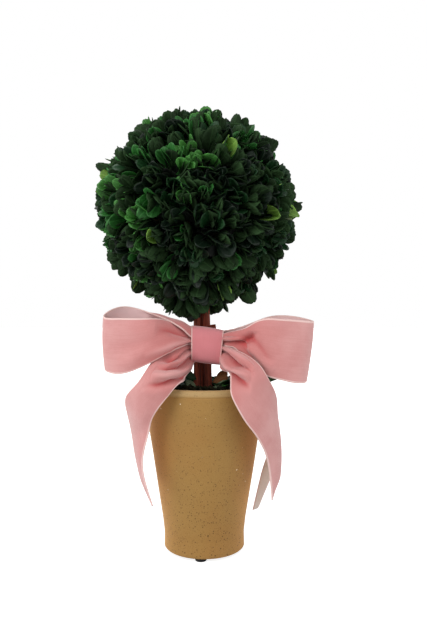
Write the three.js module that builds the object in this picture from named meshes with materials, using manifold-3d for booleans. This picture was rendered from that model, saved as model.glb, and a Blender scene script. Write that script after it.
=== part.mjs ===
// Box topiary ball: a clipped ball of box sprigs on a bundle of three sticks, planted in a
// tapered clay pot, with a ribbon bow tied round the sticks just over the pot.
// Millimetres, +Z up, -Y is the front. The origin is on the ground under the middle of the pot.

import * as THREE from "three";
import { mergeVertices } from "three/addons/utils/BufferGeometryUtils.js";
import Module from "manifold-3d";

const wasm = await Module();
wasm.setup();

// ---- Driving dimensions ----

const GAP = 0.3; // between pieces that touch

const PAD = { radius: 4.4, height: 2.2, ring: 26, count: 4, turn: -6 }; // turn in degrees

const POT = {
  underside: PAD.height + GAP,
  footRadius: 31.5,
  footZ: 14, // the foot is upright up to here
  taper: { radius: 33, z: 26 }, // where the straight taper starts
  neck: { radius: 46.6, z: 112 }, // where the taper meets the collar
  rimRadius: 47.4,
  grooveZ: 125.3, // a fine groove parts the collar from the lip
  topZ: 131.1,
  wall: 5.2,
  floor: 7,
  segments: 48,
};

const FOAM = { topZ: 119, segments: 30 };
const MOSS = { radius: 41.2, edgeZ: 127, topZ: 131.3 };

const STICK = { cutZ: 70, topZ: 248, sides: 10, steps: 12 };
// Each stick's foot and top as [x, y], its radius at both, and how far it sways on the way.
const STICKS = {
  stick_left: { foot: [-6.4, -2], top: [-5.4, -1.6], radius: [3, 2.5], sway: [0.2, 0.2] },
  stick_right: { foot: [3.6, -2.2], top: [0.6, -1.8], radius: [3.3, 2.8], sway: [0.5, 0.2] },
  stick_back: { foot: [-1, 4.6], top: [-2.2, 4.4], radius: [3.1, 2.8], sway: [0.2, -0.2] },
};

const BALL = {
  centre: [-6.5, 0, 268.6],
  half: [78.6, 78, 76.4],
  lobes: 120, // sprig heads that stand out of the clipped outline
  lobeHeight: 0.075, // as a share of the half size
  lobeWidth: 0.16, // in radians
  detail: 9,
};

// Tufts of leaves round the foot of the sticks: centre and half sizes.
const TUFTS = {
  foot_leaves_left: { centre: [-24, -6, 139.5], half: [13, 20, 7.5] },
  foot_leaves_right: { centre: [24, -6, 139], half: [13, 20, 7] },
  foot_leaves_side: { centre: [48.5, 1, 136.2], half: [9.5, 11, 4.6] },
  foot_leaves_back: { centre: [-2, 26, 139.5], half: [27, 14, 7.5] },
};
const TUFT = { lobes: 14, lobeHeight: 0.16, lobeWidth: 0.5, detail: 3 };

const RIBBON = { thickness: 1.4, across: 4 };
const KNOT = { centre: [0.2, -18.6, 164.4], size: [21, 17, 26], turn: 8.5, bevel: 1.5, sides: 20 };
const TIE = { centre: [-2, 0.6], inner: 8.2, outer: 9.7, bottomZ: 158, topZ: 171, segments: 30 };

// ---- Geometry helpers ----

// A geometry from shared corners, turned so that its faces point outwards.
function closedFrom(positions, triangles) {
  const corner = (index) => new THREE.Vector3().fromArray(positions, index * 3);
  let volume = 0;
  for (let i = 0; i < triangles.length; i += 3) {
    const [a, b, c] = [0, 1, 2].map((k) => corner(triangles[i + k]));
    volume += a.dot(b.cross(c)) / 6;
  }
  const geometry = new THREE.BufferGeometry();
  geometry.setAttribute("position", new THREE.Float32BufferAttribute(positions, 3));
  geometry.setIndex(volume > 0 ? triangles : triangles.toReversed());
  return geometry;
}

function solidOf(geometry) {
  const bare = geometry.clone();
  bare.deleteAttribute("normal");
  bare.deleteAttribute("uv");
  const merged = mergeVertices(bare, 1e-4);
  return new wasm.Manifold(
    new wasm.Mesh({
      numProp: 3,
      vertProperties: merged.attributes.position.array,
      triVerts: new Uint32Array(merged.index.array),
    }),
  );
}

function geometryOf(solid) {
  const mesh = solid.getMesh();
  const positions = [];
  for (let i = 0; i < mesh.numVert; i++) {
    positions.push(...mesh.vertProperties.subarray(i * mesh.numProp, i * mesh.numProp + 3));
  }
  return closedFrom(positions, [...mesh.triVerts]);
}

function cut(geometry, ...cutters) {
  return geometryOf(cutters.reduce((left, cutter) => left.subtract(solidOf(cutter)), solidOf(geometry)));
}

// A turned piece about the Z axis, from [radius, z] points that run anticlockwise.
function turned(profile, segments) {
  const points = profile.map(([radius, z]) => new THREE.Vector2(radius, z));
  return new THREE.LatheGeometry(points, segments).rotateX(Math.PI / 2);
}

// A closed skin over rings of points, with as many points in each, an even number.
// The end caps are ladders between the two halves of their ring, so a thin ring is capped too.
function skinOverRings(rings) {
  const sides = rings[0].length;
  const positions = [];
  const triangles = [];
  rings.forEach((ring) => ring.forEach((p) => positions.push(p.x, p.y, p.z)));
  for (let i = 0; i + 1 < rings.length; i++) {
    for (let j = 0; j < sides; j++) {
      const [a, b] = [i * sides + j, i * sides + ((j + 1) % sides)];
      triangles.push(a, b, b + sides, a, b + sides, a + sides);
    }
  }
  const last = (rings.length - 1) * sides;
  for (let j = 0; j < sides / 2 - 1; j++) {
    const [a, b, c, d] = [j, j + 1, sides - 2 - j, sides - 1 - j];
    triangles.push(a, c, b, a, d, c);
    triangles.push(last + a, last + b, last + c, last + a, last + c, last + d);
  }
  return closedFrom(positions, triangles);
}

// Directions spread evenly over a sphere.
function spreadDirections(count) {
  const golden = Math.PI * (3 - Math.sqrt(5));
  return Array.from({ length: count }, (_, i) => {
    const z = 1 - (2 * i + 1) / count;
    const ring = Math.sqrt(1 - z * z);
    return new THREE.Vector3(ring * Math.cos(golden * i), ring * Math.sin(golden * i), z);
  });
}

// How far a direction stands out between hollow, 0, and the top of a lobe, 1.
function lobeShare(direction, lobes, width) {
  const nearest = Math.min(...lobes.map((lobe) => lobe.angleTo(direction)));
  return Math.exp(-((nearest / width) ** 2));
}

// A ball with lobes, stretched to half sizes. Hollows lie lobeHeight under the lobes' tops.
function lobedBall(half, { lobes, lobeHeight, lobeWidth, detail }) {
  const geometry = new THREE.IcosahedronGeometry(1, detail);
  const spread = spreadDirections(lobes);
  const place = geometry.attributes.position;
  const point = new THREE.Vector3();
  for (let i = 0; i < place.count; i++) {
    point.fromBufferAttribute(place, i).normalize();
    const reach = 1 - lobeHeight * (1 - lobeShare(point, spread, lobeWidth));
    point.multiplyScalar(reach);
    place.setXYZ(i, point.x * half[0], point.y * half[1], point.z * half[2]);
  }
  return geometry;
}

// ---- Pot and filling ----

function potProfile() {
  const { underside, footRadius, footZ, taper, neck, rimRadius, grooveZ, topZ, wall, floor } = POT;
  const floorZ = underside + floor;
  return [
    [0, underside],
    [footRadius - 1.2, underside],
    [footRadius, underside + 1.2],
    [footRadius + 0.1, footZ],
    [taper.radius, taper.z],
    [neck.radius, neck.z],
    [neck.radius + 0.4, neck.z + 2],
    [rimRadius - 0.1, grooveZ - 0.5],
    [rimRadius - 0.5, grooveZ],
    [rimRadius, grooveZ + 0.8],
    [rimRadius - 0.1, topZ - 2.4],
    [rimRadius - 1, topZ - 0.7],
    [rimRadius - 2.4, topZ],
    [rimRadius - 4.4, topZ - 0.7],
    [rimRadius - wall, topZ - 2.6],
    [neck.radius - wall, neck.z],
    [taper.radius - wall, taper.z],
    [footRadius - wall, floorZ],
    [0, floorZ],
  ];
}

// The inside radius of the pot at a level between its floor and its rim.
function potInside(z) {
  const { underside, floor, footRadius, taper, neck, rimRadius, topZ, wall } = POT;
  const corners = [
    [underside + floor, footRadius],
    [taper.z, taper.radius],
    [neck.z, neck.radius],
    [topZ, rimRadius],
  ];
  const above = corners.findIndex(([level]) => level >= z);
  const [[z0, r0], [z1, r1]] = [corners[above - 1], corners[above]];
  return THREE.MathUtils.mapLinear(z, z0, z1, r0, r1) - wall;
}

function foamProfile() {
  const bottomZ = POT.underside + POT.floor + GAP;
  const levels = [bottomZ, POT.taper.z, POT.neck.z, FOAM.topZ];
  const side = levels.map((z) => [potInside(z) - 2 * GAP, z]);
  return [[0, bottomZ], ...side, [0, FOAM.topZ]];
}

function mossProfile() {
  const { radius, edgeZ, topZ } = MOSS;
  const bottomZ = FOAM.topZ + GAP;
  const dome = [0, 0.3, 0.6, 0.85].map((share) => {
    const angle = (share * Math.PI) / 2;
    return [radius * Math.cos(angle), THREE.MathUtils.lerp(edgeZ, topZ, Math.sin(angle))];
  });
  return [[0, bottomZ], [radius - 1, bottomZ], ...dome, [0, topZ]];
}

function padAt(index) {
  const angle = THREE.MathUtils.degToRad(PAD.turn - 90 + (index * 360) / PAD.count);
  const geometry = new THREE.CylinderGeometry(PAD.radius, PAD.radius, PAD.height, 16);
  geometry.rotateX(Math.PI / 2);
  geometry.translate(PAD.ring * Math.cos(angle), PAD.ring * Math.sin(angle), PAD.height / 2);
  return geometry;
}

// ---- Sticks ----

// One tapering stick with a slight sway, grown outwards by clearance to make a cutter.
function stick({ foot, top, radius, sway }, clearance = 0) {
  const rings = [];
  for (let i = 0; i <= STICK.steps; i++) {
    const share = i / STICK.steps;
    const bend = Math.sin(share * Math.PI * 2);
    const x = THREE.MathUtils.lerp(foot[0], top[0], share) + sway[0] * bend;
    const y = THREE.MathUtils.lerp(foot[1], top[1], share) + sway[1] * bend;
    const z = THREE.MathUtils.lerp(STICK.cutZ - clearance, STICK.topZ + clearance, share);
    const r = THREE.MathUtils.lerp(radius[0], radius[1], share) + clearance;
    rings.push(
      Array.from({ length: STICK.sides }, (_, j) => {
        const angle = (j / STICK.sides) * Math.PI * 2;
        return new THREE.Vector3(x + r * Math.cos(angle), y + r * Math.sin(angle), z);
      }),
    );
  }
  return skinOverRings(rings);
}

// ---- Bow ----

// Smooth points through the given ones, open.
function smooth(points, count) {
  return new THREE.CatmullRomCurve3(points, false, "centripetal").getPoints(count);
}

// A strip of ribbon. Each station is [edge, middle, edge], three points across the ribbon.
function ribbon(stations, steps) {
  const rails = [0, 1, 2].map((k) =>
    smooth(stations.map((station) => new THREE.Vector3(...station[k])), steps),
  );
  const { across, thickness } = RIBBON;
  const rows = [];
  for (let i = 0; i <= steps; i++) {
    const [a, m, b] = rails.map((rail) => rail[i]);
    // The middle point lies on the arc, so the curve's own control point lies further out.
    const control = m.clone().multiplyScalar(2).addScaledVector(a, -0.5).addScaledVector(b, -0.5);
    rows.push(new THREE.QuadraticBezierCurve3(a, control, b).getPoints(across));
  }
  return skinOverRings(rows.map((row, i) => walled(rows, row, i, thickness)));
}

// One closed ring round the strip's cross-section: out along one face and back along the other.
function walled(rows, row, i, thickness) {
  const before = rows[Math.max(i - 1, 0)];
  const after = rows[Math.min(i + 1, rows.length - 1)];
  const normals = row.map((_, j) => {
    const along = after[j].clone().sub(before[j]);
    const over = row[Math.min(j + 1, row.length - 1)].clone().sub(row[Math.max(j - 1, 0)]);
    return along.cross(over).normalize();
  });
  const face = (side) => row.map((p, j) => p.clone().addScaledVector(normals[j], (side * thickness) / 2));
  return [...face(1), ...face(-1).reverse()];
}

// Loops are [top edge, middle, bottom edge], from behind the knot, round the end and back in front.
const LEFT_LOOP = [
  [[-11, -15, 177], [-11.5, -13, 171], [-12.4, -15, 165]],
  [[-26.9, -15, 183.3], [-27, -14, 172], [-27, -15, 160]],
  [[-42.5, -15, 187.9], [-43, -14, 169], [-43, -15, 152]],
  [[-57.7, -16, 191.2], [-58, -14, 170], [-59, -15, 147.5]],
  [[-67, -20, 190.5], [-68.5, -17, 169], [-69, -18, 146.5]],
  [[-75.5, -31, 184.5], [-75.3, -28, 165.5], [-74.3, -28, 147.5]],
  [[-63, -42, 183], [-63, -42, 163], [-63, -40, 143.3]],
  [[-46.6, -46, 182], [-46.6, -46, 165], [-46.6, -43, 147.5]],
  [[-32.4, -43, 181.8], [-32, -44, 169], [-32, -40, 154.9]],
  [[-20, -34, 176], [-20, -36, 168.5], [-20, -33, 161]],
  [[-12, -24, 169.5], [-12, -25, 166.5], [-12.4, -24, 163]],
];

const RIGHT_LOOP = [
  [[13.6, -15, 173], [13.2, -13, 168.5], [12.9, -15, 164]],
  [[27.6, -16, 175.4], [28, -15, 166], [28, -16, 155]],
  [[41.5, -17, 181.4], [42, -16, 164], [42, -17, 144]],
  [[50.6, -18, 184], [51, -16.5, 161.5], [51, -18, 140]],
  [[61.7, -20, 184.4], [62, -18.5, 161.5], [61, -20, 139.8]],
  [[72.4, -25, 183.2], [72, -24, 160.5], [70, -25, 138.5]],
  [[81.2, -36, 180.7], [79, -35, 158.5], [76.2, -35, 136.5]],
  [[70, -45, 182], [68, -45, 160], [66, -44, 137.2]],
  [[58.1, -47, 182.6], [58, -47, 160.5], [58, -46, 138.3]],
  [[44.5, -46, 183.2], [44.5, -46, 163], [44.5, -45, 141.8]],
  [[33.2, -42, 179.6], [33.2, -43, 166], [33.2, -41, 153]],
  [[22, -35, 175], [22, -36, 169], [22, -34, 162.5]],
  [[13.6, -26, 171.5], [13.6, -27, 168], [13.2, -26, 164.5]],
];

// Tails are [outer edge, middle, inner edge], from the knot over the rim to the cut end.
const LEFT_TAIL = [
  [[-12.6, -28, 159.5], [-12.8, -29, 155], [-12.9, -27, 150.5]],
  [[-24, -44, 155.5], [-19.5, -43, 151], [-13.5, -38, 146.5]],
  [[-38.5, -51, 148], [-28, -51, 145], [-15.4, -46, 140.5]],
  [[-46.5, -51, 139.5], [-37, -54, 136], [-24.9, -50, 130.6]],
  [[-56.9, -38, 127.7], [-46, -49, 125.5], [-32.5, -51, 121.1]],
  [[-57.9, -28, 113.4], [-50, -42, 112], [-38.3, -47, 111.5]],
  [[-57.2, -12, 96.1], [-51, -31, 97], [-40.5, -45, 101.4]],
  [[-55.5, -4, 80.7], [-51, -24, 82], [-44.6, -42, 86.4]],
  [[-51.5, -2, 61.9], [-48, -22, 65.5], [-44.6, -42, 70.9]],
  [[-44.9, -6, 48.2], [-43, -24, 58], [-36.5, -42, 47.9]],
];

// The right tail's outer edge curls round behind it, towards the pot.
const RIGHT_TAIL = [
  [[11.8, -28, 160.5], [11, -29, 155.5], [10.6, -27, 150.5]],
  [[25, -47, 160.5], [20, -46, 153.5], [15.2, -41, 145.7]],
  [[38.5, -52, 152], [29, -53, 148], [18.4, -47, 142.5]],
  [[43.6, -51, 142], [33, -56, 137], [19.4, -52, 130.7]],
  [[49.6, -42, 133.5], [39, -53, 130], [21.8, -53, 123.7]],
  [[53.8, -32, 123.9], [45, -48, 118.5], [29, -52, 110.8]],
  [[55.9, -20, 111.2], [50.5, -40, 106.5], [35.6, -49, 101.7]],
  [[56, -10, 95.4], [56, -29, 93.5], [41.7, -45, 91.4]],
  [[53, -5, 80.4], [57.8, -24, 80.4], [45.5, -42, 82.4]],
  [[47.5, 0, 63.4], [58.3, -20, 64.4], [48.5, -38, 67.4]],
  [[39.6, 1, 31.1], [54.5, -15, 55.7], [50, -36, 48.2]],
];

function knot() {
  const [width, depth, height] = KNOT.size;
  const [halfDepth, halfHeight] = [depth / 2 - KNOT.bevel, height / 2 - KNOT.bevel];
  const outline = Array.from({ length: KNOT.sides }, (_, i) => {
    const angle = (i / KNOT.sides) * Math.PI * 2;
    const square = (value) => Math.sign(value) * Math.sqrt(Math.abs(value)); // a rounded oblong
    return new THREE.Vector2(halfDepth * square(Math.cos(angle)), halfHeight * square(Math.sin(angle)));
  });
  const geometry = new THREE.ExtrudeGeometry(new THREE.Shape(outline), {
    depth: width - 2 * KNOT.bevel,
    bevelThickness: KNOT.bevel,
    bevelSize: KNOT.bevel,
    bevelSegments: 2,
  });
  geometry.translate(0, 0, KNOT.bevel - width / 2);
  // The outline's plane is turned to stand across X: its first axis to +Y, its second to +Z.
  geometry.rotateX(Math.PI / 2).rotateZ(Math.PI / 2);
  return geometry;
}

// ---- The group ----

const MATERIALS = {
  clay: { color: "#a9804c", roughness: 0.75 },
  pad: { color: "#1c1c1a", roughness: 0.9 },
  foam: { color: "#3f4a2c", roughness: 0.95 },
  moss: { color: "#2c3a1c", roughness: 0.95 },
  bark: { color: "#6b3322", roughness: 0.8 },
  leaf: { color: "#173f1d", roughness: 0.5 },
  velvet: { color: "#d98a8c", roughness: 0.85 },
};

const topiary = new THREE.Group();

function add(name, geometry, finish) {
  const material = new THREE.MeshStandardMaterial({ ...MATERIALS[finish], metalness: 0 });
  const mesh = new THREE.Mesh(geometry, material);
  mesh.name = name;
  topiary.add(mesh);
  return mesh;
}

const stickCutters = Object.values(STICKS).map((size) => stick(size, GAP));

add("pot", turned(potProfile(), POT.segments), "clay");
for (let i = 0; i < PAD.count; i++) {
  add(`foot_pad_${i + 1}`, padAt(i), "pad");
}
add("planting_foam", cut(turned(foamProfile(), FOAM.segments), ...stickCutters), "foam");
add("moss", cut(turned(mossProfile(), FOAM.segments), ...stickCutters), "moss");

for (const [name, size] of Object.entries(STICKS)) {
  add(name, stick(size), "bark");
}

const ball = lobedBall(BALL.half, BALL).translate(...BALL.centre);
add("leaf_ball", cut(ball, ...stickCutters), "leaf");

for (const [name, { centre, half }] of Object.entries(TUFTS)) {
  add(name, lobedBall(half, TUFT), "leaf").position.set(...centre);
}

const bowKnot = add("bow_knot", knot(), "velvet");
bowKnot.position.set(...KNOT.centre);
bowKnot.rotation.y = THREE.MathUtils.degToRad(KNOT.turn);

const tieProfile = [
  [TIE.inner, TIE.bottomZ],
  [TIE.outer, TIE.bottomZ],
  [TIE.outer, TIE.topZ],
  [TIE.inner, TIE.topZ],
  [TIE.inner, TIE.bottomZ],
];
add("bow_tie", turned(tieProfile, TIE.segments), "velvet").position.set(...TIE.centre, 0);
add("bow_loop_left", ribbon(LEFT_LOOP, 26), "velvet");
add("bow_loop_right", ribbon(RIGHT_LOOP, 26), "velvet");
add("bow_tail_left", ribbon(LEFT_TAIL, 16), "velvet");
add("bow_tail_right", ribbon(RIGHT_TAIL, 16), "velvet");

export default topiary;
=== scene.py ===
import math

import bmesh
import bpy
import numpy as np
from mathutils import Matrix, Vector, noise


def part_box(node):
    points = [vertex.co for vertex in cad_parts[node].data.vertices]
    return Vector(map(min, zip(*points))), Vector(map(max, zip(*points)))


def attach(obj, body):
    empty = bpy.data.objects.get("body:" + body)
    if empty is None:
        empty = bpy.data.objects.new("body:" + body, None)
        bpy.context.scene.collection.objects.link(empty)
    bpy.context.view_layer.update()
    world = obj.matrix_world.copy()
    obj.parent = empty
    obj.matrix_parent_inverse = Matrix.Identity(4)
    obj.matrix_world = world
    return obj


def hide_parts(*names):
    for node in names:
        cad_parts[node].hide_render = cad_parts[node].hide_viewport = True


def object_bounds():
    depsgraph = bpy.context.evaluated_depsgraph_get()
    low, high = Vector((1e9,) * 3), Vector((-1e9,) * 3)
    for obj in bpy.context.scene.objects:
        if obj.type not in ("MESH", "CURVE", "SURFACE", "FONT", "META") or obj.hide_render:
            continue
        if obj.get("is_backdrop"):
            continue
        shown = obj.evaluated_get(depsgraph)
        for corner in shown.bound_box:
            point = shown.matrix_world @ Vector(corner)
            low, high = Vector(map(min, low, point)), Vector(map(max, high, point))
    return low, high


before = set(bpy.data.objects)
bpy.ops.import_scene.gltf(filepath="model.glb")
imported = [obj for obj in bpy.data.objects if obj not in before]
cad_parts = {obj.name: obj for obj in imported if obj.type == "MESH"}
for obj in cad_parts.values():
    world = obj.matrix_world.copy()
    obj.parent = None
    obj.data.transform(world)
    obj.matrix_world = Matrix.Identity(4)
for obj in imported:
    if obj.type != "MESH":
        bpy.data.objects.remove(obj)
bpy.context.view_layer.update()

bl_info = {
    "name": "Box Topiary Ball",
    "version": (1, 0, 0),
    "blender": (4, 5, 0),
    "location": "View3D > Sidebar > Topiary",
    "description": "Builds a box topiary ball in a clay pot, with a velvet bow, on a pale stage",
    "category": "Add Mesh",
}

MM = 0.001
BODY = "root"
GOLDEN_ANGLE = math.pi * (3 - math.sqrt(5))


def linear(red, green, blue):
    """A colour for a shader, from its ordinary screen values, 0 to 255."""
    shares = [value / 255 for value in (red, green, blue)]
    return tuple(s / 12.92 if s <= 0.04045 else ((s + 0.055) / 1.055) ** 2.4 for s in shares)


def colour(name, description, *values):
    """A colour setting, given by its screen values."""
    return bpy.props.FloatVectorProperty(
        name=name, description=description, subtype="COLOR", size=3, min=0, max=1, default=linear(*values)
    )


def length(name, description, millimetres):
    return bpy.props.FloatProperty(
        name=name, description=description, unit="LENGTH", min=0, precision=5, default=millimetres * MM
    )


def number(name, description, value):
    return bpy.props.IntProperty(name=name, description=description, min=1, default=value)


def amount(name, description, value):
    return bpy.props.FloatProperty(name=name, description=description, min=0, default=value)


# ---------------------------------------------------------------- settings


class PotSettings(bpy.types.PropertyGroup):
    clay: colour("Clay", "Colour of the pot's body", 165, 127, 68)
    clay_warm: colour("Warm clay", "Colour of the warmer patches", 163, 120, 62)
    # Painted light: the pot's left and right sides are painted lighter and warmer, standing in for the light
    # that falls on them.
    flush: colour("Flush", "Colour of painted light on the pot's sides", 200, 142, 82)
    # Painted highlight: the lip is painted paler, standing in for the light its bevel catches from above.
    lip: colour("Lip", "Colour of the lip's painted highlight", 184, 154, 106)
    speck: colour("Speck", "Colour of the iron specks", 70, 46, 22)
    chip: colour("Chip", "Colour of the few white grains", 236, 226, 196)
    speck_spacing: length("Speck spacing", "Distance between specks", 1.35)
    throwing_depth: length("Throwing depth", "Height of the faint rings left on the wheel", 0.09)


class StemSettings(bpy.types.PropertyGroup):
    bark: colour("Bark", "Colour of the sticks' ridges", 146, 68, 47)
    bark_dark: colour("Bark grooves", "Colour down in the grooves", 54, 21, 13)
    groove_depth: length("Groove depth", "Depth of the bark's relief", 0.32)


class CrownSettings(bpy.types.PropertyGroup):
    boughs: number("Boughs", "Boughs that leave the tops of the sticks", 14)
    twigs: number("Twigs", "Twigs that the boughs fork into", 44)
    sprigs: number("Sprigs", "Sprigs that end in the ball's surface", 320)
    leaf_length: length("Leaf length", "Length of a full-grown leaf", 22.5)
    seed: number("Seed", "Seed of the branching rule", 11)
    # Painted shade: the leaves inside the ball get a near-black colour that stands in for the shade there.
    inner: colour("Painted shade green", "Colour of the shaded leaves inside the ball", 9, 16, 9)
    # Deep green: partly the oldest leaves, and mostly dealt to the shady side of the ball as painted shade.
    deep: colour("Deep green", "Colour of the oldest leaves", 12, 31, 17)
    dark: colour("Dark green", "Colour of most leaves", 24, 62, 30)
    # Fresh and middle green: partly fresher sprays, and mostly dealt to the sunny side of the ball as painted
    # light.
    fresh: colour("Fresh green", "Colour of the fresher sprays, and of painted light on the sunny side", 50, 114, 49)
    mid: colour("Middle green", "Colour of the brightest sprays", 72, 134, 60)
    young: colour("Young green", "Colour of the young shoots", 112, 152, 62)
    faded: colour("Faded", "Colour of the few faded leaves", 116, 130, 94)
    underside: colour("Underside", "Colour of the leaves' undersides", 44, 70, 38)
    twig: colour("Twig", "Colour of the twigs", 84, 70, 40)


class GroundSettings(bpy.types.PropertyGroup):
    moss: colour("Moss", "Colour of the moss", 20, 26, 14)
    moss_dry: colour("Dry moss", "Colour of the moss's dry tips", 46, 40, 22)
    brown_leaf: colour("Brown leaf", "Colour of the withered leaves", 128, 84, 46)
    grey_leaf: colour("Grey leaf", "Colour of the dull leaves by the sticks", 112, 130, 100)
    foam: colour("Foam", "Colour of the hidden planting foam", 66, 78, 44)
    moss_tufts: number("Moss tufts", "Density of tufts, in thousands for each square metre", 300)
    seed: number("Seed", "Seed of the moss and the leaves round the foot", 5)


class BowSettings(bpy.types.PropertyGroup):
    # Painted light and shade: the pile is painted deeper and redder towards the knot, where the gathered
    # cloth shades itself, and paler out at the ends.
    velvet: colour("Velvet", "Colour of the pile out at the bow's ends", 215, 160, 157)
    velvet_deep: colour("Deep velvet", "Colour of painted shade where the pile is gathered by the knot", 199, 115, 112)
    # Painted shade: the deep red that valleys in the pile are painted, for the shade and reddened light down
    # in them.
    velvet_fold: colour("Velvet folds", "Colour of painted shade down in the folds", 182, 62, 62)
    knot: colour("Knot", "Colour of the knot's pile", 218, 134, 139)
    selvedge: colour("Selvedge", "Colour of the woven edges", 238, 202, 196)
    reverse: colour("Reverse", "Colour of the ribbon's flat back", 252, 242, 238)
    # Painted reflection: the same flat back as the reverse, painted pinker inside the loops for the pink
    # light the pile throws onto it.
    lining: colour("Lining", "Colour of the flat back inside the loops", 240, 204, 203)
    thickness: length("Thickness", "Thickness of the ribbon", 1.0)
    rim: length("Rim", "Half the thickness of the rolled edge", 0.56)


class StageSettings(bpy.types.PropertyGroup):
    distance: length("Camera distance", "From the pot's axis to the camera", 480)
    height: length("Camera height", "Height of the camera above the ground", 189.5)
    aside: length("Aim aside", "How far right of the pot's axis the camera aims", 7.2)
    drop: length("Aim drop", "How far under its own height the camera aims", 2.0)
    lens: amount("Lens", "Focal length in mm", 34.56)
    key_power: amount("Key", "Power of the main light", 3.9)
    side_power: amount("Sides", "Power of each side light", 3.9)
    sky: amount("Sky", "Strength of the light from all round", 0.78)


class TopiarySettings(bpy.types.PropertyGroup):
    pot: bpy.props.PointerProperty(type=PotSettings)
    stem: bpy.props.PointerProperty(type=StemSettings)
    crown: bpy.props.PointerProperty(type=CrownSettings)
    ground: bpy.props.PointerProperty(type=GroundSettings)
    bow: bpy.props.PointerProperty(type=BowSettings)
    stage: bpy.props.PointerProperty(type=StageSettings)


# ---------------------------------------------------------------- node helpers


def place(tree, kind, inputs=None, **settings):
    """Adds a node. A socket given as an input is linked to it, and any other value is set on it."""
    made = tree.nodes.new(kind)
    for name, value in settings.items():
        setattr(made, name, value)
    for key, value in (inputs or {}).items():
        if isinstance(value, bpy.types.NodeSocket):
            tree.links.new(value, made.inputs[key])
        else:
            made.inputs[key].default_value = value
    return made


def output(tree, kind, inputs=None, **settings):
    """The first output of a new node."""
    return place(tree, kind, inputs, **settings).outputs[0]


def new_group(name, kind, inputs, outputs):
    """A node group with named sockets, and its two end nodes."""
    tree = bpy.data.node_groups.new(name, kind)
    for label, (socket, value) in inputs.items():
        made = tree.interface.new_socket(label, in_out="INPUT", socket_type="NodeSocket" + socket)
        if value is not None:
            made.default_value = value
    for label, socket in outputs.items():
        tree.interface.new_socket(label, in_out="OUTPUT", socket_type="NodeSocket" + socket)
    return tree, tree.nodes.new("NodeGroupInput").outputs, tree.nodes.new("NodeGroupOutput").inputs


def calculate(tree, operation, first, second=0.0):
    return output(tree, "ShaderNodeMath", {0: first, 1: second}, operation=operation)


def times(tree, first, second):
    return calculate(tree, "MULTIPLY", first, second)


def spread_out(tree, value, low, high):
    """Stretches a value so that low becomes 0 and high becomes 1, and no further."""
    settings = {"Value": value, "From Min": low, "From Max": high}
    return output(tree, "ShaderNodeMapRange", settings, interpolation_type="SMOOTHSTEP")


def split(tree, vector):
    return place(tree, "ShaderNodeSeparateXYZ", {"Vector": vector}).outputs


def object_place(tree, stretch=(1, 1, 1)):
    """A point's place on the object, in metres, stretched along the axes."""
    here = place(tree, "ShaderNodeTexCoord").outputs["Object"]
    return output(tree, "ShaderNodeMapping", {"Vector": here, "Scale": stretch})


def flat_place(tree):
    """A point's place on the flat cloth or on the flat leaf."""
    return output(tree, "ShaderNodeUVMap", uv_map="UVMap")


def mottle_group():
    """Soft blotches at two scales, and a height to go with them."""
    inputs = {"Place": ("Vector", None), "Patch": ("Float", 40.0), "Grain": ("Float", 900.0)}
    outputs = {"Patches": "Float", "Grains": "Float"}
    tree, given, out = new_group("Mottle", "ShaderNodeTree", inputs, outputs)
    for result, scale, detail, rough, low in (
        ("Patches", "Patch", 4.0, 0.55, 0.32),
        ("Grains", "Grain", 3.0, 0.6, 0.25),
    ):
        looks = {"Vector": given["Place"], "Scale": given[scale], "Detail": detail, "Roughness": rough}
        tree.links.new(spread_out(tree, output(tree, "ShaderNodeTexNoise", looks), low, 1 - low), out[result])
    return tree


def speckle_group():
    """Round specks of uneven size, scattered through the clay."""
    inputs = {"Place": ("Vector", None), "Scale": ("Float", 400.0)}
    inputs |= {"Size": ("Float", 0.2), "Share": ("Float", 0.5)}
    tree, given, out = new_group("Speckles", "ShaderNodeTree", inputs, {"Specks": "Float"})
    cells = place(tree, "ShaderNodeTexVoronoi", {"Vector": given["Place"], "Scale": given["Scale"]}).outputs
    parts = place(tree, "ShaderNodeSeparateColor", {"Color": cells["Color"]}).outputs
    inside = calculate(tree, "LESS_THAN", cells["Distance"], times(tree, given["Size"], parts["Red"]))
    kept = calculate(tree, "LESS_THAN", parts["Green"], given["Share"])
    tree.links.new(times(tree, inside, kept), out["Specks"])
    return tree


def weave_group():
    """The fine ribs and threads of a ribbon, which follow its length and width."""
    inputs = {"Ribs": ("Float", 60.0), "Threads": ("Float", 220.0)}
    tree, given, out = new_group("Weave", "ShaderNodeTree", inputs, {"Weave": "Float"})
    parts = split(tree, flat_place(tree))
    ribs = calculate(tree, "SINE", times(tree, parts["Y"], given["Ribs"]))
    threads = calculate(tree, "SINE", times(tree, parts["X"], given["Threads"]))
    tree.links.new(times(tree, ribs, threads), out["Weave"])
    return tree


def blade_group():
    """Where a leaf's pale midrib, its side veins and its thin margin lie."""
    outputs = {"Midrib": "Float", "Margin": "Float", "Side veins": "Float"}
    tree, given, out = new_group("Blade", "ShaderNodeTree", {"Veins": ("Float", 9.0)}, outputs)
    parts = split(tree, flat_place(tree))
    aside = calculate(tree, "ABSOLUTE", calculate(tree, "SUBTRACT", parts["X"], 0.5))
    slant = calculate(tree, "SUBTRACT", parts["Y"], times(tree, aside, 0.7))
    waves = calculate(tree, "COSINE", times(tree, times(tree, slant, given["Veins"]), 2 * math.pi))
    tree.links.new(spread_out(tree, aside, 0.06, 0.0), out["Midrib"])
    tree.links.new(spread_out(tree, aside, 0.40, 0.49), out["Margin"])
    tree.links.new(spread_out(tree, waves, 0.8, 1.0), out["Side veins"])
    return tree


def shaded(tone, factor, extra=(0, 0, 0)):
    """A tone made lighter or darker by a factor, with a little more of each primary."""
    return tuple(min(1, value * factor + more) for value, more in zip(tone, extra))


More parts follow.
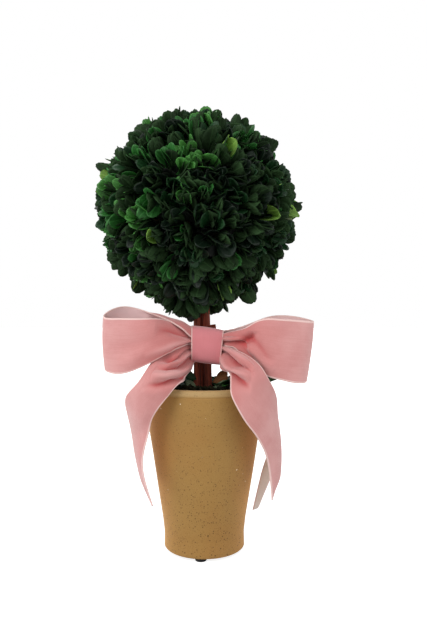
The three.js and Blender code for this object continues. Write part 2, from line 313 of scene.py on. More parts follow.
class Paint:
    """A material being made: tones laid over each other on mottled stuff, and then its relief."""

    def __init__(self, name, base, patch, grain, stretch=(1, 1, 1), **fixed):
        self.material = bpy.data.materials.new(name)
        self.material.use_nodes = True
        self.tree = self.material.node_tree
        self.shader = self.tree.nodes["Principled BSDF"].inputs
        for label, value in fixed.items():
            self.shader[label.replace("_", " ")].default_value = value
        self.here = object_place(self.tree, stretch)
        mottle = self.group("Mottle", mottle_group, Place=self.here, Patch=patch, Grain=grain)
        self.patches, self.grains = mottle["Patches"], mottle["Grains"]
        self.body = (*base, 1)

    def group(self, name, builder, **inputs):
        tree = bpy.data.node_groups.get(name) or builder()
        return place(self.tree, "ShaderNodeGroup", inputs, node_tree=tree).outputs

    def attribute(self, name):
        return place(self.tree, "ShaderNodeAttribute", attribute_name=name).outputs["Fac"]

    def layer(self, mask, strength, tone, factor=1.0):
        """Lays a tone, made lighter or darker by a factor, over the colour so far."""
        sides = {0: times(self.tree, mask, strength), 6: self.body, 7: (*shaded(tone, factor), 1)}
        self.body = place(self.tree, "ShaderNodeMix", sides, data_type="RGBA").outputs[2]

    def roughness(self, mask, low, high):
        rough = output(self.tree, "ShaderNodeMapRange", {"Value": mask, "To Min": low, "To Max": high})
        self.tree.links.new(rough, self.shader["Roughness"])

    def finish(self, height=None, distance=0.0, strength=1.0):
        """The material, with its colour and a relief as deep as the distance in metres."""
        self.tree.links.new(self.body, self.shader["Base Color"])
        if height is not None:
            bump = {"Height": height, "Distance": distance, "Strength": strength}
            self.tree.links.new(output(self.tree, "ShaderNodeBump", bump), self.shader["Normal"])
        return self.material


# ---------------------------------------------------------------- materials


def clay_material(settings):
    shine = {"Specular_IOR_Level": 0.32, "Sheen_Weight": 0.9, "Sheen_Roughness": 0.4}
    paint = Paint("Speckled clay", settings.clay, 22.0, 1300.0, Sheen_Tint=(1.0, 0.62, 0.30, 1), **shine)
    tree = paint.tree
    low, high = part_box("pot")
    parts = split(tree, paint.here)
    aside = calculate(tree, "ABSOLUTE", parts["X"])
    lip = spread_out(tree, parts["Z"], high.z - 6.2 * MM, high.z - 3.2 * MM)
    paint.layer(paint.patches, 1.0, settings.clay_warm)
    paint.layer(paint.grains, 0.22, settings.clay, 0.62)
    # Painted light on the pot's sides, away from its axis: lighter and warmer where light falls.
    paint.layer(spread_out(tree, aside, 18 * MM, 42 * MM), 0.85, settings.flush)
    # Painted highlight on the lip's upper band.
    paint.layer(lip, 0.8, settings.lip)

    def specks(closer, size, kept):
        scale = closer / settings.speck_spacing
        found = {"Place": paint.here, "Scale": scale, "Size": size, "Share": kept}
        return paint.group("Speckles", speckle_group, **found)["Specks"]

    dust, fine, rare = specks(1.9, 0.38, 0.7), specks(1.0, 0.42, 0.6), specks(0.55, 0.26, 0.02)
    levels = {"Value": parts["Z"], "From Min": low.z, "From Max": high.z, "To Min": 1.0, "To Max": 0.25}
    lower = output(tree, "ShaderNodeMapRange", levels)
    paint.layer(times(tree, lower, dust), 0.55, settings.speck)
    paint.layer(times(tree, lower, fine), 0.8, settings.speck)
    paint.layer(rare, 1.0, settings.chip)
    paint.roughness(paint.grains, 0.56, 0.78)
    pitted = calculate(tree, "SUBTRACT", times(tree, paint.grains, 0.5), fine)
    return paint.finish(pitted, 0.09 * MM, 0.6)


def rubber_material():
    paint = Paint("Foot rubber", (0.008,) * 3, 300.0, 3000.0, Specular_IOR_Level=0.3)
    paint.layer(paint.patches, 1.0, (0.022,) * 3)
    paint.tree.links.new(spread_out(paint.tree, paint.grains, -2.0, 1.4), paint.shader["Roughness"])
    return paint.finish(paint.grains, 0.05 * MM)


def earthy_material(name, main, tips, patch, grain, depth):
    """Dull, crumbly stuff: foam and moss."""
    paint = Paint(name, main, patch, grain, Roughness=0.95, Specular_IOR_Level=0.15)
    paint.layer(paint.patches, 1.0, tips)
    paint.layer(paint.grains, 0.5, main, 0.35)
    return paint.finish(paint.grains, depth)


def bark_material(settings):
    paint = Paint("Stick bark", settings.bark, 420.0, 2400.0, (1, 1, 0.09), Specular_IOR_Level=0.3)
    paint.layer(paint.attribute("groove"), 1.0, settings.bark_dark)
    paint.layer(paint.patches, 0.45, settings.bark, 0.4)
    paint.layer(paint.grains, 0.18, settings.bark, 2.4)
    paint.roughness(paint.patches, 0.55, 0.85)
    return paint.finish(paint.grains, 0.12 * MM, 0.7)


def twig_material(settings):
    paint = Paint("Twig bark", settings.twig, 160.0, 1800.0, Roughness=0.8, Specular_IOR_Level=0.25)
    paint.layer(paint.patches, 1.0, settings.twig, 0.4)
    return paint.finish(paint.grains, 0.1 * MM)


def leaf_material(name, tone, rough):
    """The upper face of a leaf: a paler midrib, a paler margin that is partly the leaf's own edge and partly
    a painted highlight where the rim catches the light, faint veins and a waxy shine.
    """
    paint = Paint(name, tone, 70.0, 700.0, Specular_IOR_Level=0.3)
    blade = paint.group("Blade", blade_group, Veins=8.0)
    pale = shaded(tone, 2.0, (0.012,) * 3)
    paint.layer(paint.patches, 1.0, tone, 0.6)
    paint.layer(blade["Side veins"], 0.12, pale)
    paint.layer(blade["Midrib"], 0.45, pale)
    # The margin: partly the leaf's own paler edge, partly a painted highlight where its rim catches the
    # light.
    paint.layer(blade["Margin"], 0.6, shaded(tone, 2.0, (0.020, 0.036, 0.014)))
    paint.roughness(paint.grains, rough - 0.07, rough + 0.16)
    veined = calculate(paint.tree, "SUBTRACT", times(paint.tree, paint.grains, 0.4), blade["Midrib"])
    return paint.finish(veined, 0.12 * MM, 0.8)


def underside_material(settings):
    tone = settings.underside
    paint = Paint("Leaf underside", tone, 60.0, 900.0, Roughness=0.72, Specular_IOR_Level=0.15)
    paint.layer(paint.patches, 1.0, tone, 0.42)
    paint.layer(paint.group("Blade", blade_group, Veins=8.0)["Midrib"], 0.5, tone, 1.8)
    return paint.finish(paint.grains, 0.1 * MM)


def velvet_material(name, pale, deep, shade_in_folds):
    """Short dense pile, with a fine nap: painted shade makes it deeper by the knot and down in folds, and a
    painted highlight makes it paler on ridges.
    """
    shine = {"Roughness": 0.92, "Specular_IOR_Level": 0.08, "Sheen_Weight": 0.6, "Sheen_Roughness": 0.55}
    paint = Paint(name, deep, 62.0, 2100.0, Sheen_Tint=(1.0, 0.84, 0.82, 1), **shine)
    tree = paint.tree
    ends = {0: paint.here, 1: tuple(value * MM for value in KNOT_CENTRE)}
    away = place(tree, "ShaderNodeVectorMath", ends, operation="DISTANCE").outputs["Value"]
    brushed = {"Vector": flat_place(tree), "Scale": (1, 0.06, 1)}
    brushed = {"Vector": output(tree, "ShaderNodeMapping", brushed), "Scale": 900.0, "Detail": 2.0}
    brushed = spread_out(tree, output(tree, "ShaderNodeTexNoise", brushed), 0.3, 0.7)
    fold = paint.attribute("fold")
    # Painted light and shade: deeper and redder near the knot, paler towards the bow's ends.
    paint.layer(spread_out(tree, away, 24 * MM, 86 * MM), 1.0, pale)
    paint.layer(paint.patches, 0.35, deep, 0.9)
    paint.layer(brushed, 0.14, deep, 0.8)
    paint.layer(paint.grains, 0.16, pale, 1.2)
    # Painted highlight: ridges, pressed outwards, are painted paler.
    paint.layer(spread_out(tree, fold, -0.3 * MM, -3.2 * MM), 0.75, pale, 1.08)
    # Painted shade: valleys, pressed inwards, are painted a deep red.
    paint.layer(spread_out(tree, fold, 0.7 * MM, 5.0 * MM), 0.85, shade_in_folds)
    weave = paint.group("Weave", weave_group, Ribs=9000.0, Threads=9000.0)["Weave"]
    return paint.finish(calculate(tree, "ADD", paint.grains, times(tree, weave, 0.15)), 0.16 * MM, 0.55)


def woven_material(name, tone, ribs, threads, sheen):
    """The ribbon's flat weave: its reverse and its edges."""
    shine = {"Roughness": 0.62, "Specular_IOR_Level": 0.35, "Sheen_Weight": sheen, "Sheen_Roughness": 0.3}
    paint = Paint(name, tone, 90.0, 1500.0, **shine)
    weave = paint.group("Weave", weave_group, Ribs=ribs, Threads=threads)["Weave"]
    paint.layer(spread_out(paint.tree, weave, -0.9, 0.9), 0.22, tone, 0.72)
    paint.layer(paint.patches, 0.2, tone, 0.8)
    return paint.finish(calculate(paint.tree, "ADD", weave, paint.grains), 0.08 * MM, 0.5)


def ribbon_materials(settings, pile="Velvet pile", back="Ribbon reverse"):
    """Pile, edge and reverse, in the order of a ribbon's slots. Made once and shared."""
    if pile not in bpy.data.materials:
        velvet_material("Velvet pile", settings.velvet, settings.velvet_deep, settings.velvet_fold)
        velvet_material("Knot pile", settings.knot, settings.knot, settings.velvet_fold)
        woven_material("Selvedge", settings.selvedge, 6500.0, 5200.0, 0.3)
        woven_material("Ribbon reverse", settings.reverse, 5200.0, 6200.0, 0.25)
        # The reverse inside the loops, with a painted pink reflection.
        woven_material("Loop reverse", settings.lining, 5200.0, 6200.0, 0.25)
    return [bpy.data.materials[name] for name in (pile, "Selvedge", back)]


def stage_material():
    """A pale floor, lit so brightly that it fades into the white around it."""
    glow = (1, 1, 1, 1)
    paint = Paint(
        "Pale floor", (0.55,) * 3, 3.0, 60.0, Roughness=0.9, Specular_IOR_Level=0.1, Emission_Color=glow
    )
    tree = paint.tree
    away = place(tree, "ShaderNodeVectorMath", {0: paint.here}, operation="LENGTH").outputs["Value"]
    paint.layer(paint.patches, 0.3, (0.52,) * 3)
    over = calculate(tree, "ADD", times(tree, spread_out(tree, away, 0.10, 0.8), 0.4), 0.82)
    seen = output(tree, "ShaderNodeLightPath")
    tree.links.new(times(tree, seen, over), paint.shader["Emission Strength"])
    return paint.finish()


# ---------------------------------------------------------------- mesh helpers


def new_mesh(name, corners, faces, materials=(), slots=None, uv=None):
    """A smooth mesh. slots gives each face's material, and uv each corner point's place on the cloth."""
    mesh = bpy.data.meshes.new(name)
    mesh.from_pydata(np.asarray(corners, float).tolist(), [], [list(face) for face in faces])
    for material in materials:
        mesh.materials.append(material)
    if slots is not None:
        mesh.polygons.foreach_set("material_index", np.asarray(slots, np.int32))
    if uv is not None:
        loops = np.zeros(len(mesh.loops), np.int32)
        mesh.loops.foreach_get("vertex_index", loops)
        layer = mesh.uv_layers.new(name="UVMap")
        layer.data.foreach_set("uv", np.asarray(uv, np.float32)[loops].ravel())
    mesh.polygons.foreach_set("use_smooth", np.ones(len(mesh.polygons), bool))
    mesh.update()
    return mesh


def added(name, data):
    """A new object in the scene."""
    made = bpy.data.objects.new(name, data)
    bpy.context.collection.objects.link(made)
    return made


def finished(name, mesh, slot, *nodes):
    """The mesh as a piece of the object, in place of its CAD nodes."""
    piece = added(name, mesh)
    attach(piece, BODY)
    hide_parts(*nodes)


def store(mesh, name, kind, domain, values):
    """A named attribute on a mesh, from an array."""
    layer = mesh.attributes.new(name, kind, domain)
    field = "vector" if kind == "FLOAT_VECTOR" else "value"
    layer.data.foreach_set(field, np.asarray(values).ravel())


def grown(name, mesh, tree, **values):
    """The plain mesh that a Geometry Nodes tree grows from another mesh."""
    holder = added(name + "_seed", mesh)
    modifier = holder.modifiers.new("Grow", "NODES")
    modifier.node_group = tree
    for item in tree.interface.items_tree:
        if item.item_type == "SOCKET" and item.in_out == "INPUT" and item.name in values:
            modifier[item.identifier] = values[item.name]
    sight = bpy.context.evaluated_depsgraph_get()
    result = bpy.data.meshes.new_from_object(holder.evaluated_get(sight))
    result.name = name
    holder.modifiers.remove(modifier)
    bpy.data.objects.remove(holder)
    return result


def centre_and_half(node):
    low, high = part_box(node)
    return np.array((low + high) / 2), np.array((high - low) / 2)


def unit(vectors):
    vectors = np.asarray(vectors, float)
    return vectors / np.maximum(np.linalg.norm(vectors, axis=-1, keepdims=True), 1e-12)


def facing(angle):
    """The level direction at an angle round Z."""
    return np.array([math.cos(angle), math.sin(angle), 0.0])


def distances(points):
    """How far along a run of points each one lies."""
    return np.concatenate([[0], np.cumsum(np.linalg.norm(np.diff(points, axis=0), axis=1))])


def outward(mesh):
    """The mesh with its faces turned to point outwards."""
    work = bmesh.new()
    work.from_mesh(mesh)
    bmesh.ops.recalc_face_normals(work, faces=work.faces)
    work.to_mesh(mesh)
    work.free()
    return mesh


# ---------------------------------------------------------------- pot


def rounded(points, radius, steps=5):
    """A profile whose inner corners are rounded by arcs of up to the given radius."""
    points = [np.array(p, float) for p in points]
    out = [points[0]]
    for before, here, after in zip(points, points[1:], points[2:]):
        reach = min(radius, 0.45 * np.linalg.norm(before - here), 0.45 * np.linalg.norm(after - here))
        start = here + unit(before - here) * reach
        end = here + unit(after - here) * reach
        for t in np.linspace(0, 1, steps):
            out.append((1 - t) ** 2 * start + 2 * t * (1 - t) * here + t**2 * end)
    return np.array(out + [points[-1]])


def subdivided(profile, longest):
    """The profile with points no further apart than longest."""
    out = [profile[0]]
    for a, b in zip(profile, profile[1:]):
        pieces = max(1, math.ceil(np.linalg.norm(b - a) / longest))
        out += [a + (b - a) * (k + 1) / pieces for k in range(pieces)]
    return np.array(out)


def turned(profile, around, ripple=None):
    """A piece turned about Z from [radius, height] points that start and end on the axis."""
    angles = np.linspace(0, 2 * math.pi, around, endpoint=False)
    corners = [[0, 0, profile[0][1]]]
    for radius, height in profile[1:-1]:
        for angle in angles:
            r = radius + (ripple(radius, height, angle) if ripple else 0)
            corners.append([r * math.cos(angle), r * math.sin(angle), height])
    corners.append([0, 0, profile[-1][1]])
    rings, last = len(profile) - 2, len(corners) - 1
    faces = []
    for j in range(around):
        k = (j + 1) % around
        faces.append([0, 1 + k, 1 + j])
        faces.append([last, last - around + j, last - around + k])
        for i in range(rings - 1):
            a, b = 1 + i * around, 1 + (i + 1) * around
            faces.append([a + j, a + k, b + k, b + j])
    return corners, faces


# [share of the rim's radius, height over the underside in mm], from the underside outwards and up
POT_PROFILE = {
    "outside": [(0.656, 0), (0.670, 0.7), (0.6665, 11.5), (0.696, 23.5), (0.983, 109.5), (0.9915, 111.6)],
    "lip": [(0.998, 122.2), (0.9885, 122.9), (1.0, 123.7), (0.998, 126.3), (0.979, 127.9), (0.949, 128.6)],
    "inside": [(0.907, 127.9), (0.89, 126.0), (0.873, 109.5), (0.586, 23.5), (0.555, 7.0)],
}
POT_SIDES = 144
POT_STEP = 1.6 * MM  # the longest step up the mesh, and the radius of its softened corners
THROWING_PITCH = 3.1 * MM  # height from one ring to the next
DENT_DEPTH = 0.28 * MM


def build_pot(settings):
    low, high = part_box("pot")
    rim = high.x
    profile = [(0, 0)] + POT_PROFILE["outside"] + POT_PROFILE["lip"] + POT_PROFILE["inside"] + [(0, 7.0)]
    points = [(r * rim, low.z + z * MM) for r, z in profile]
    points = subdivided(rounded(points, POT_STEP), POT_STEP)

    def ripple(radius, height, angle):
        around = Vector((math.cos(angle), math.sin(angle), 0)) * 0.9
        drift = 2.5 * noise.noise(around + Vector((0, 0, height * 60)))
        throw = math.sin(height / THROWING_PITCH * 2 * math.pi + drift)
        dent = noise.noise(around * 1.4 + Vector((0, 0, height * 22)))
        fade = min(1.0, radius / (0.5 * rim))
        return fade * (settings.throwing_depth * throw * 0.5 + DENT_DEPTH * dent)

    corners, faces = turned(points, POT_SIDES, ripple)
    finished("clay_pot", new_mesh("clay_pot", corners, faces, [clay_material(settings)]), "clay", "pot")


def build_foot_pads():
    rubber = rubber_material()
    for count in range(1, 5):
        node = f"foot_pad_{count}"
        low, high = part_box(node)
        radius, middle = (high.x - low.x) / 2, (low + high) / 2
        outline = [(0, low.z), (radius, low.z), (radius * 0.97, high.z), (0, high.z)]
        corners, faces = turned(rounded(outline, 0.5 * MM), 40)
        corners = np.array(corners) + [middle.x, middle.y, 0]
        finished(f"rubber_foot_{count}", new_mesh(node, corners, faces, [rubber]), "pad", node)


# ---------------------------------------------------------------- sticks

# Foot and top of each stick as [x, y] in mm, its radius at both, its sway, and a seed for its bark.
STICKS = {
    "stick_left": ((-6.4, -2.0), (-5.4, -1.6), (3.0, 2.5), (0.2, 0.2), 3.1),
    "stick_right": ((3.6, -2.2), (0.6, -1.8), (3.3, 2.8), (0.5, 0.2), 7.7),
    "stick_back": ((-1.0, 4.6), (-2.2, 4.4), (3.1, 2.8), (0.2, -0.2), 12.9),
}
STICK_SIDES = 44
STICK_STEP = 0.9 * MM
STUB_SIDES = 20
STUB = {  # a cut side shoot on the right stick, in mm, with its girth at shares of its length
    "height": 174.9,
    "reach": 4.4,
    "radius": 2.5,
    "levels": [(0, 1.12), (0.35, 1.0), (0.7, 0.95), (0.94, 0.97), (1.0, 0.86), (1.0, 0.4)],
}


def stick_middle(name, part):
    """The middle of a stick, as [x, y] in metres, at a share of its height."""
    foot, top, _, sway, _ = STICKS[name]
    bend = math.sin(part * 2 * math.pi)
    return [(a + (b - a) * part + s * bend) * MM for a, b, s in zip(foot, top, sway)]


def barked(name, corners, around, grooves, material):
    """A closed tube through rings of points, which hold how deep they lie in the bark."""
    last = len(corners) - around
    faces = [list(range(around))[::-1], list(range(last, last + around))]
    for first in range(0, last, around):
        for j in range(around):
            k = (j + 1) % around
            faces.append([first + j, first + k, first + around + k, first + around + j])
    mesh = new_mesh(name, corners, faces, [material])
    store(mesh, "groove", "FLOAT", "POINT", grooves)
    return outward(mesh)


def build_stick(name, settings, material):
    low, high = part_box(name)
    _, _, radii, _, seed = STICKS[name]
    count = math.ceil((high.z - low.z) / STICK_STEP)
    corners, grooves = [], []
    for i in range(count + 1):
        part = i / count
        z = low.z + (high.z - low.z) * part
        x, y = stick_middle(name, part)
        radius = (radii[0] + (radii[1] - radii[0]) * part) * MM
        for j in range(STICK_SIDES):
            out = facing(j / STICK_SIDES * 2 * math.pi)
            ridge = noise.noise((out[0] * 2.6 + seed, out[1] * 2.6, z * 26))
            fine = noise.noise((out[0] * 7 + seed, out[1] * 7, z * 75))
            rings = noise.noise((seed, 0, z * 130))
            lump = noise.noise((out[0] * 0.8, out[1] * 0.8 + seed, z * 40))
            cut = max(0.0, min(1.0, 0.5 - 1.1 * ridge - 0.55 * fine))
            r = radius - settings.groove_depth * (cut - 0.35) + 0.14 * MM * lump + 0.08 * MM * rings
            corners.append(out * r + [x, y, z])
            grooves.append(cut)
    finished("bark_" + name, barked(name, corners, STICK_SIDES, grooves, material), "bark", name)


def build_stub(material):
    """A short cut shoot that stands out of the right stick just over the bow."""
    low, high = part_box("stick_right")
    z = STUB["height"] * MM
    x, y = stick_middle("stick_right", (z - low.z) / (high.z - low.z))
    sunk = 1.6  # mm of it inside the stick
    start = np.array([x + sunk * MM, y, z])
    along = unit([0.96, -0.1, 0.16])
    side = unit(np.cross(along, [0, 0, 1]))
    up = np.cross(side, along)
    corners, grooves = [], []
    for part, girth in STUB["levels"]:
        for j in range(STUB_SIDES):
            angle = j / STUB_SIDES * 2 * math.pi
            r = STUB["radius"] * MM * girth * (1 + 0.1 * math.sin(3 * angle + 1) + 0.05 * math.sin(7 * angle))
            tip = start + along * part * (STUB["reach"] + sunk) * MM
            corners.append(tip + side * r * math.cos(angle) + up * r * math.sin(angle))
            grooves.append(0.5 + 0.5 * math.sin(5 * angle))
    finished("bark_stub", barked("stick_stub", corners, STUB_SIDES, grooves, material), "bark")


# ---------------------------------------------------------------- leaves

# Width over length, cupping, how far the tip bends back, and the tip's notch.
LEAF_SHAPES = [(0.58, 0.16, 0.10, 0.025), (0.64, 0.10, 0.04, 0.040), (0.52, 0.22, 0.20, 0.012)]
LEAF_ROWS = [(0.0, 0.10), (0.15, 0.40), (0.34, 0.78), (0.55, 0.99), (0.75, 0.95), (0.91, 0.66), (1.0, 0.24)]
LEAF_ACROSS = (-1.0, -0.5, 0.0, 0.5, 1.0)
LEAF_THICKNESS = 0.022  # as a share of its length


def leaf_shape(name, under, width, cup, bend, notch):
    """A closed box leaf, 1 long, from its stalk at the origin along +Y, with its upper face to +Z."""

    def corner(row, side, lift):
        v, breadth = LEAF_ROWS[row]
        u = LEAF_ACROSS[side]
        y = v - (notch * (1 - abs(u)) if row == len(LEAF_ROWS) - 1 else 0) - 0.02 * u * u
        rise = cup * width * 0.5 * (u * breadth) ** 2 - 0.018 * (1 - abs(u)) - bend * 0.5 * v**2.2
        return (u * breadth * width / 2, y, rise + lift)

    corners, uv, index = [], [], {}
    last_row, last_side = len(LEAF_ROWS) - 1, len(LEAF_ACROSS) - 1
    for face in (1, -1):
        for row in range(last_row + 1):
            for side in range(last_side + 1):
                shared = row in (0, last_row) or side in (0, last_side)
                if shared and face < 0:
                    index[face, row, side] = index[1, row, side]
                    continue
                index[face, row, side] = len(corners)
                corners.append(corner(row, side, 0 if shared else face * LEAF_THICKNESS / 2))
                uv.append(((LEAF_ACROSS[side] + 1) / 2, LEAF_ROWS[row][0]))
    faces, below = [], []
    for face in (1, -1):
        for row in range(last_row):
            for side in range(last_side):
                ring = [(row, side), (row, side + 1), (row + 1, side + 1), (row + 1, side)]
                ring = [index[face, r, s] for r, s in ring]
                faces.append(ring if face > 0 else ring[::-1])
                below.append(face < 0)
    mesh = new_mesh(name, corners, faces, [under], uv=uv)
    store(mesh, "underside", "BOOLEAN", "FACE", below)
    return mesh


def leaf_collection(under):
    """The few leaf shapes that all sprays share, outside the scene."""
    shelf = bpy.data.collections.get("Leaf shapes")
    if shelf is None:
        shelf = bpy.data.collections.new("Leaf shapes")
        for i, shape in enumerate(LEAF_SHAPES):
            name = f"box_leaf_{i}"
            shelf.objects.link(bpy.data.objects.new(name, leaf_shape(name, under, *shape)))
    return shelf


def attribute(tree, name, kind):
    return output(tree, "GeometryNodeInputNamedAttribute", {"Name": name}, data_type=kind)


def geometry_group(name, **inputs):
    """A Geometry Nodes tree that makes one mesh from another."""
    inputs = {"Geometry": ("Geometry", None), **{key.replace("_", " "): kind for key, kind in inputs.items()}}
    return new_group(name, "GeometryNodeTree", inputs, {"Geometry": "Geometry"})


def leaves_on(tree, points, given, **placing):
    """A leaf from the given collection on each point."""
    shelf = {"Collection": given["Leaves"], "Separate Children": True}
    inputs = {"Points": points, "Instance": output(tree, "GeometryNodeCollectionInfo", shelf)}
    inputs |= {"Pick Instance": True, **{key.replace("_", " "): socket for key, socket in placing.items()}}
    return output(tree, "GeometryNodeInstanceOnPoints", inputs)


def dressed(tree, out, geometry, *materials):
    """Ends a tree: its instances made real, and then each material set on them."""
    geometry = output(tree, "GeometryNodeRealizeInstances", {"Geometry": geometry})
    for inputs in materials:
        geometry = output(tree, "GeometryNodeSetMaterial", {"Geometry": geometry, **inputs})
    tree.links.new(geometry, out["Geometry"])
    return tree


def spray_tree():
    """Puts a leaf on every point, turned and sized by the point's own attributes."""
    kinds = {"Leaves": ("Collection", None), "Upper": ("Material", None), "Under": ("Material", None)}
    tree, given, out = geometry_group("Leaf spray", **kinds)
    turn = {"Euler": attribute(tree, "turn", "FLOAT_VECTOR")}
    leaves = leaves_on(
        tree,
        given["Geometry"],
        given,
        Instance_Index=attribute(tree, "shape", "INT"),
        Rotation=output(tree, "FunctionNodeEulerToRotation", turn),
        Scale=attribute(tree, "size", "FLOAT_VECTOR"),
    )
    below = {"Selection": attribute(tree, "underside", "BOOLEAN"), "Material": given["Under"]}
    return dressed(tree, out, leaves, {"Material": given["Upper"]}, below)


def twig_tree():
    """Gives every run of edges the round girth that its points hold."""
    tree, given, out = geometry_group("Twigs", Sides=("Int", 6), Material=("Material", None))
    sweep = {
        "Curve": output(tree, "GeometryNodeMeshToCurve", {"Mesh": given["Geometry"]}),
        "Profile Curve": output(
            tree, "GeometryNodeCurvePrimitiveCircle", {"Resolution": given["Sides"], "Radius": 1.0}
        ),
        "Scale": attribute(tree, "girth", "FLOAT"),
        "Fill Caps": True,
    }
    swept = output(tree, "GeometryNodeCurveToMesh", sweep)
    return dressed(tree, out, swept, {"Material": given["Material"]})


def moss_tree():
    """Scatters small leafy tufts over a surface, each standing off it at its own slant."""
    tree, given, out = geometry_group(
        "Moss",
        Leaves=("Collection", None),
        Density=("Float", 1000.0),
        Leaf_size=("Float", 0.004),
        Seed=("Int", 1),
        Material=("Material", None),
    )
    seed = {"Seed": given["Seed"]}
    ground = {"Mesh": given["Geometry"], "Density": given["Density"], **seed}
    spots = output(tree, "GeometryNodeDistributePointsOnFaces", ground)
    lean = {0: (-1.1, -1.1, -3.1), 1: (1.1, 1.1, 3.1), **seed}
    lean = output(tree, "FunctionNodeRandomValue", lean, data_type="FLOAT_VECTOR")
    upright = output(tree, "FunctionNodeEulerToRotation", {"Euler": (math.pi / 2, 0, 0)})
    slanted = output(tree, "FunctionNodeRotateRotation", {"Rotation": upright, "Rotate By": lean})
    size = place(tree, "FunctionNodeRandomValue", {2: 0.5, 3: 1.25, **seed}, data_type="FLOAT").outputs[1]
    scale = times(tree, size, given["Leaf size"])
    tufts = leaves_on(tree, spots, given, Rotation=slanted, Scale=scale)
    return dressed(tree, out, tufts, {"Material": given["Material"]})


class Foliage:
    """Leaves and twigs of one mass, gathered while it grows, and built as joined pieces."""

    twist = 0.75  # how much the leaves turn about their own length, in radians
    scatter = 2.6  # how far at most their stalks hold them off the twig, in mm

    def __init__(self, seed, leaf_length):
        self.random = np.random.default_rng(seed)
        self.leaf_length = leaf_length
        self.leaves = {}
        self.twigs = []

    def twig(self, path, thick, thin):
        self.twigs.append((path, np.linspace(thick, thin, len(path))))

    def leaf(self, tint, base, along, upper, size):
        along = unit(along)
        across = unit(np.cross(along, upper))
        upper = np.cross(across, along)
        turn = Matrix(np.column_stack([across, along, upper]).tolist()).to_euler()
        shape = int(self.random.integers(len(LEAF_SHAPES)))
        self.leaves.setdefault(tint, []).append((base, tuple(turn), size, shape))

    def sprig(self, path, depths, tint, odd_tint=None, opening=(3, 20), clear=None):
        """Pairs of leaves, each crossed over the next, at depths in mm behind the end of a path."""
        random = self.random
        gone = distances(path)
        start = random.uniform(0, 2 * math.pi)

        def on_path(at):
            return np.array([np.interp(at, gone, path[:, axis]) for axis in range(3)])

        for k, depth in enumerate(depths):
            back = gone[-1] - depth * MM * random.uniform(0.9, 1.1)
            if back < 0:
                break
            base = on_path(back)
            stem = unit(on_path(back + 2 * MM) - on_path(back - 2 * MM))
            side = unit(np.cross(stem, [0.3, 0.2, 0.93]))
            other = np.cross(stem, side)
            part = k / max(1, len(depths) - 1)
            for half in (0, math.pi):
                around = start + half + (k % 2) * math.pi / 2 + random.normal(0, 0.45)
                out = side * math.cos(around) + other * math.sin(around)
                open_by = opening[0] + (opening[1] - opening[0]) * part**0.9
                angle = math.radians(open_by + random.normal(0, 9))
                along = stem * math.cos(angle) + out * math.sin(angle)
                upper = stem * math.sin(angle) - out * math.cos(angle)
                roll = random.normal(0, self.twist)
                upper = upper * math.cos(roll) + np.cross(along, upper) * math.sin(roll)
                odd = odd_tint and k < 2 and random.random() < 0.6
                growth = 0.92 if odd else min(1.0, 0.66 + 0.1 * k)
                size = self.leaf_length * growth * random.uniform(0.84, 1.12)
                root = base + out * random.uniform(0.3, self.scatter) * MM
                if clear is not None and not clear(base + along * size):
                    continue
                self.leaf(odd_tint if odd else tint, root, along, upper, size)

    def build(self, name, tints, under, bark, *nodes):
        """One piece for each tint, and one for the twigs."""
        shelf = leaf_collection(under)
        tree = bpy.data.node_groups.get("Leaf spray") or spray_tree()
        for tint, leaves in sorted(self.leaves.items()):
            bases, turns, sizes, shapes = zip(*leaves)
            seeds = bpy.data.meshes.new(name + "_points")
            seeds.from_pydata([tuple(base) for base in bases], [], [])
            store(seeds, "turn", "FLOAT_VECTOR", "POINT", turns)
            store(seeds, "size", "FLOAT_VECTOR", "POINT", np.repeat(np.array(sizes)[:, None], 3, axis=1))
            store(seeds, "shape", "INT", "POINT", np.array(shapes, np.int32))
            mesh = grown(f"{name}_leaves_{tint}", seeds, tree, Leaves=shelf, Upper=tints[tint], Under=under)
            finished(f"{name}_leaves_{tint}", mesh, "leaf", *nodes)
        self.build_twigs(name, bark, *nodes)

    def build_twigs(self, name, bark, *nodes):
        points, edges, girths = [], [], []
        for path, girth in self.twigs:
            first = len(points)
            points += [tuple(point) for point in path]
            girths += list(girth)
            edges += [(first + i, first + i + 1) for i in range(len(path) - 1)]
        seeds = bpy.data.meshes.new(name + "_paths")
        seeds.from_pydata(points, edges, [])
        store(seeds, "girth", "FLOAT", "POINT", np.array(girths, np.float32))
        tree = bpy.data.node_groups.get("Twigs") or twig_tree()
        mesh = grown(name + "_twigs", seeds, tree, Material=bark)
        finished(name + "_twigs", mesh, "bark", *nodes)


def even_directions(random, count, loose):
    """Directions spread evenly over a sphere, each moved a little."""
    i = np.arange(count) + 0.5
    height = 1 - 2 * i / count
    ring = np.sqrt(1 - height**2)
    angle = GOLDEN_ANGLE * i + random.uniform(0, 2 * math.pi)
    even = np.column_stack([ring * np.cos(angle), ring * np.sin(angle), height])
    return unit(even + random.normal(0, loose / math.sqrt(count), even.shape))


def bent_path(start, leaving, end, arriving, steps):
    """A smooth path that leaves one way and arrives another."""
    reach = np.linalg.norm(end - start)
    a, b = start + unit(leaving) * reach * 0.38, end - unit(arriving) * reach * 0.38
    t = np.linspace(0, 1, steps)[:, None]
    return (1 - t) ** 3 * start + 3 * t * (1 - t) ** 2 * a + 3 * t**2 * (1 - t) * b + t**3 * end


def near_sticks(point, room=10.5 * MM):
    """Whether a point under the ball's middle would lie among the sticks."""
    x, _ = stick_middle("stick_back", 0.7)
    return math.hypot(point[0] - x, point[1]) < room


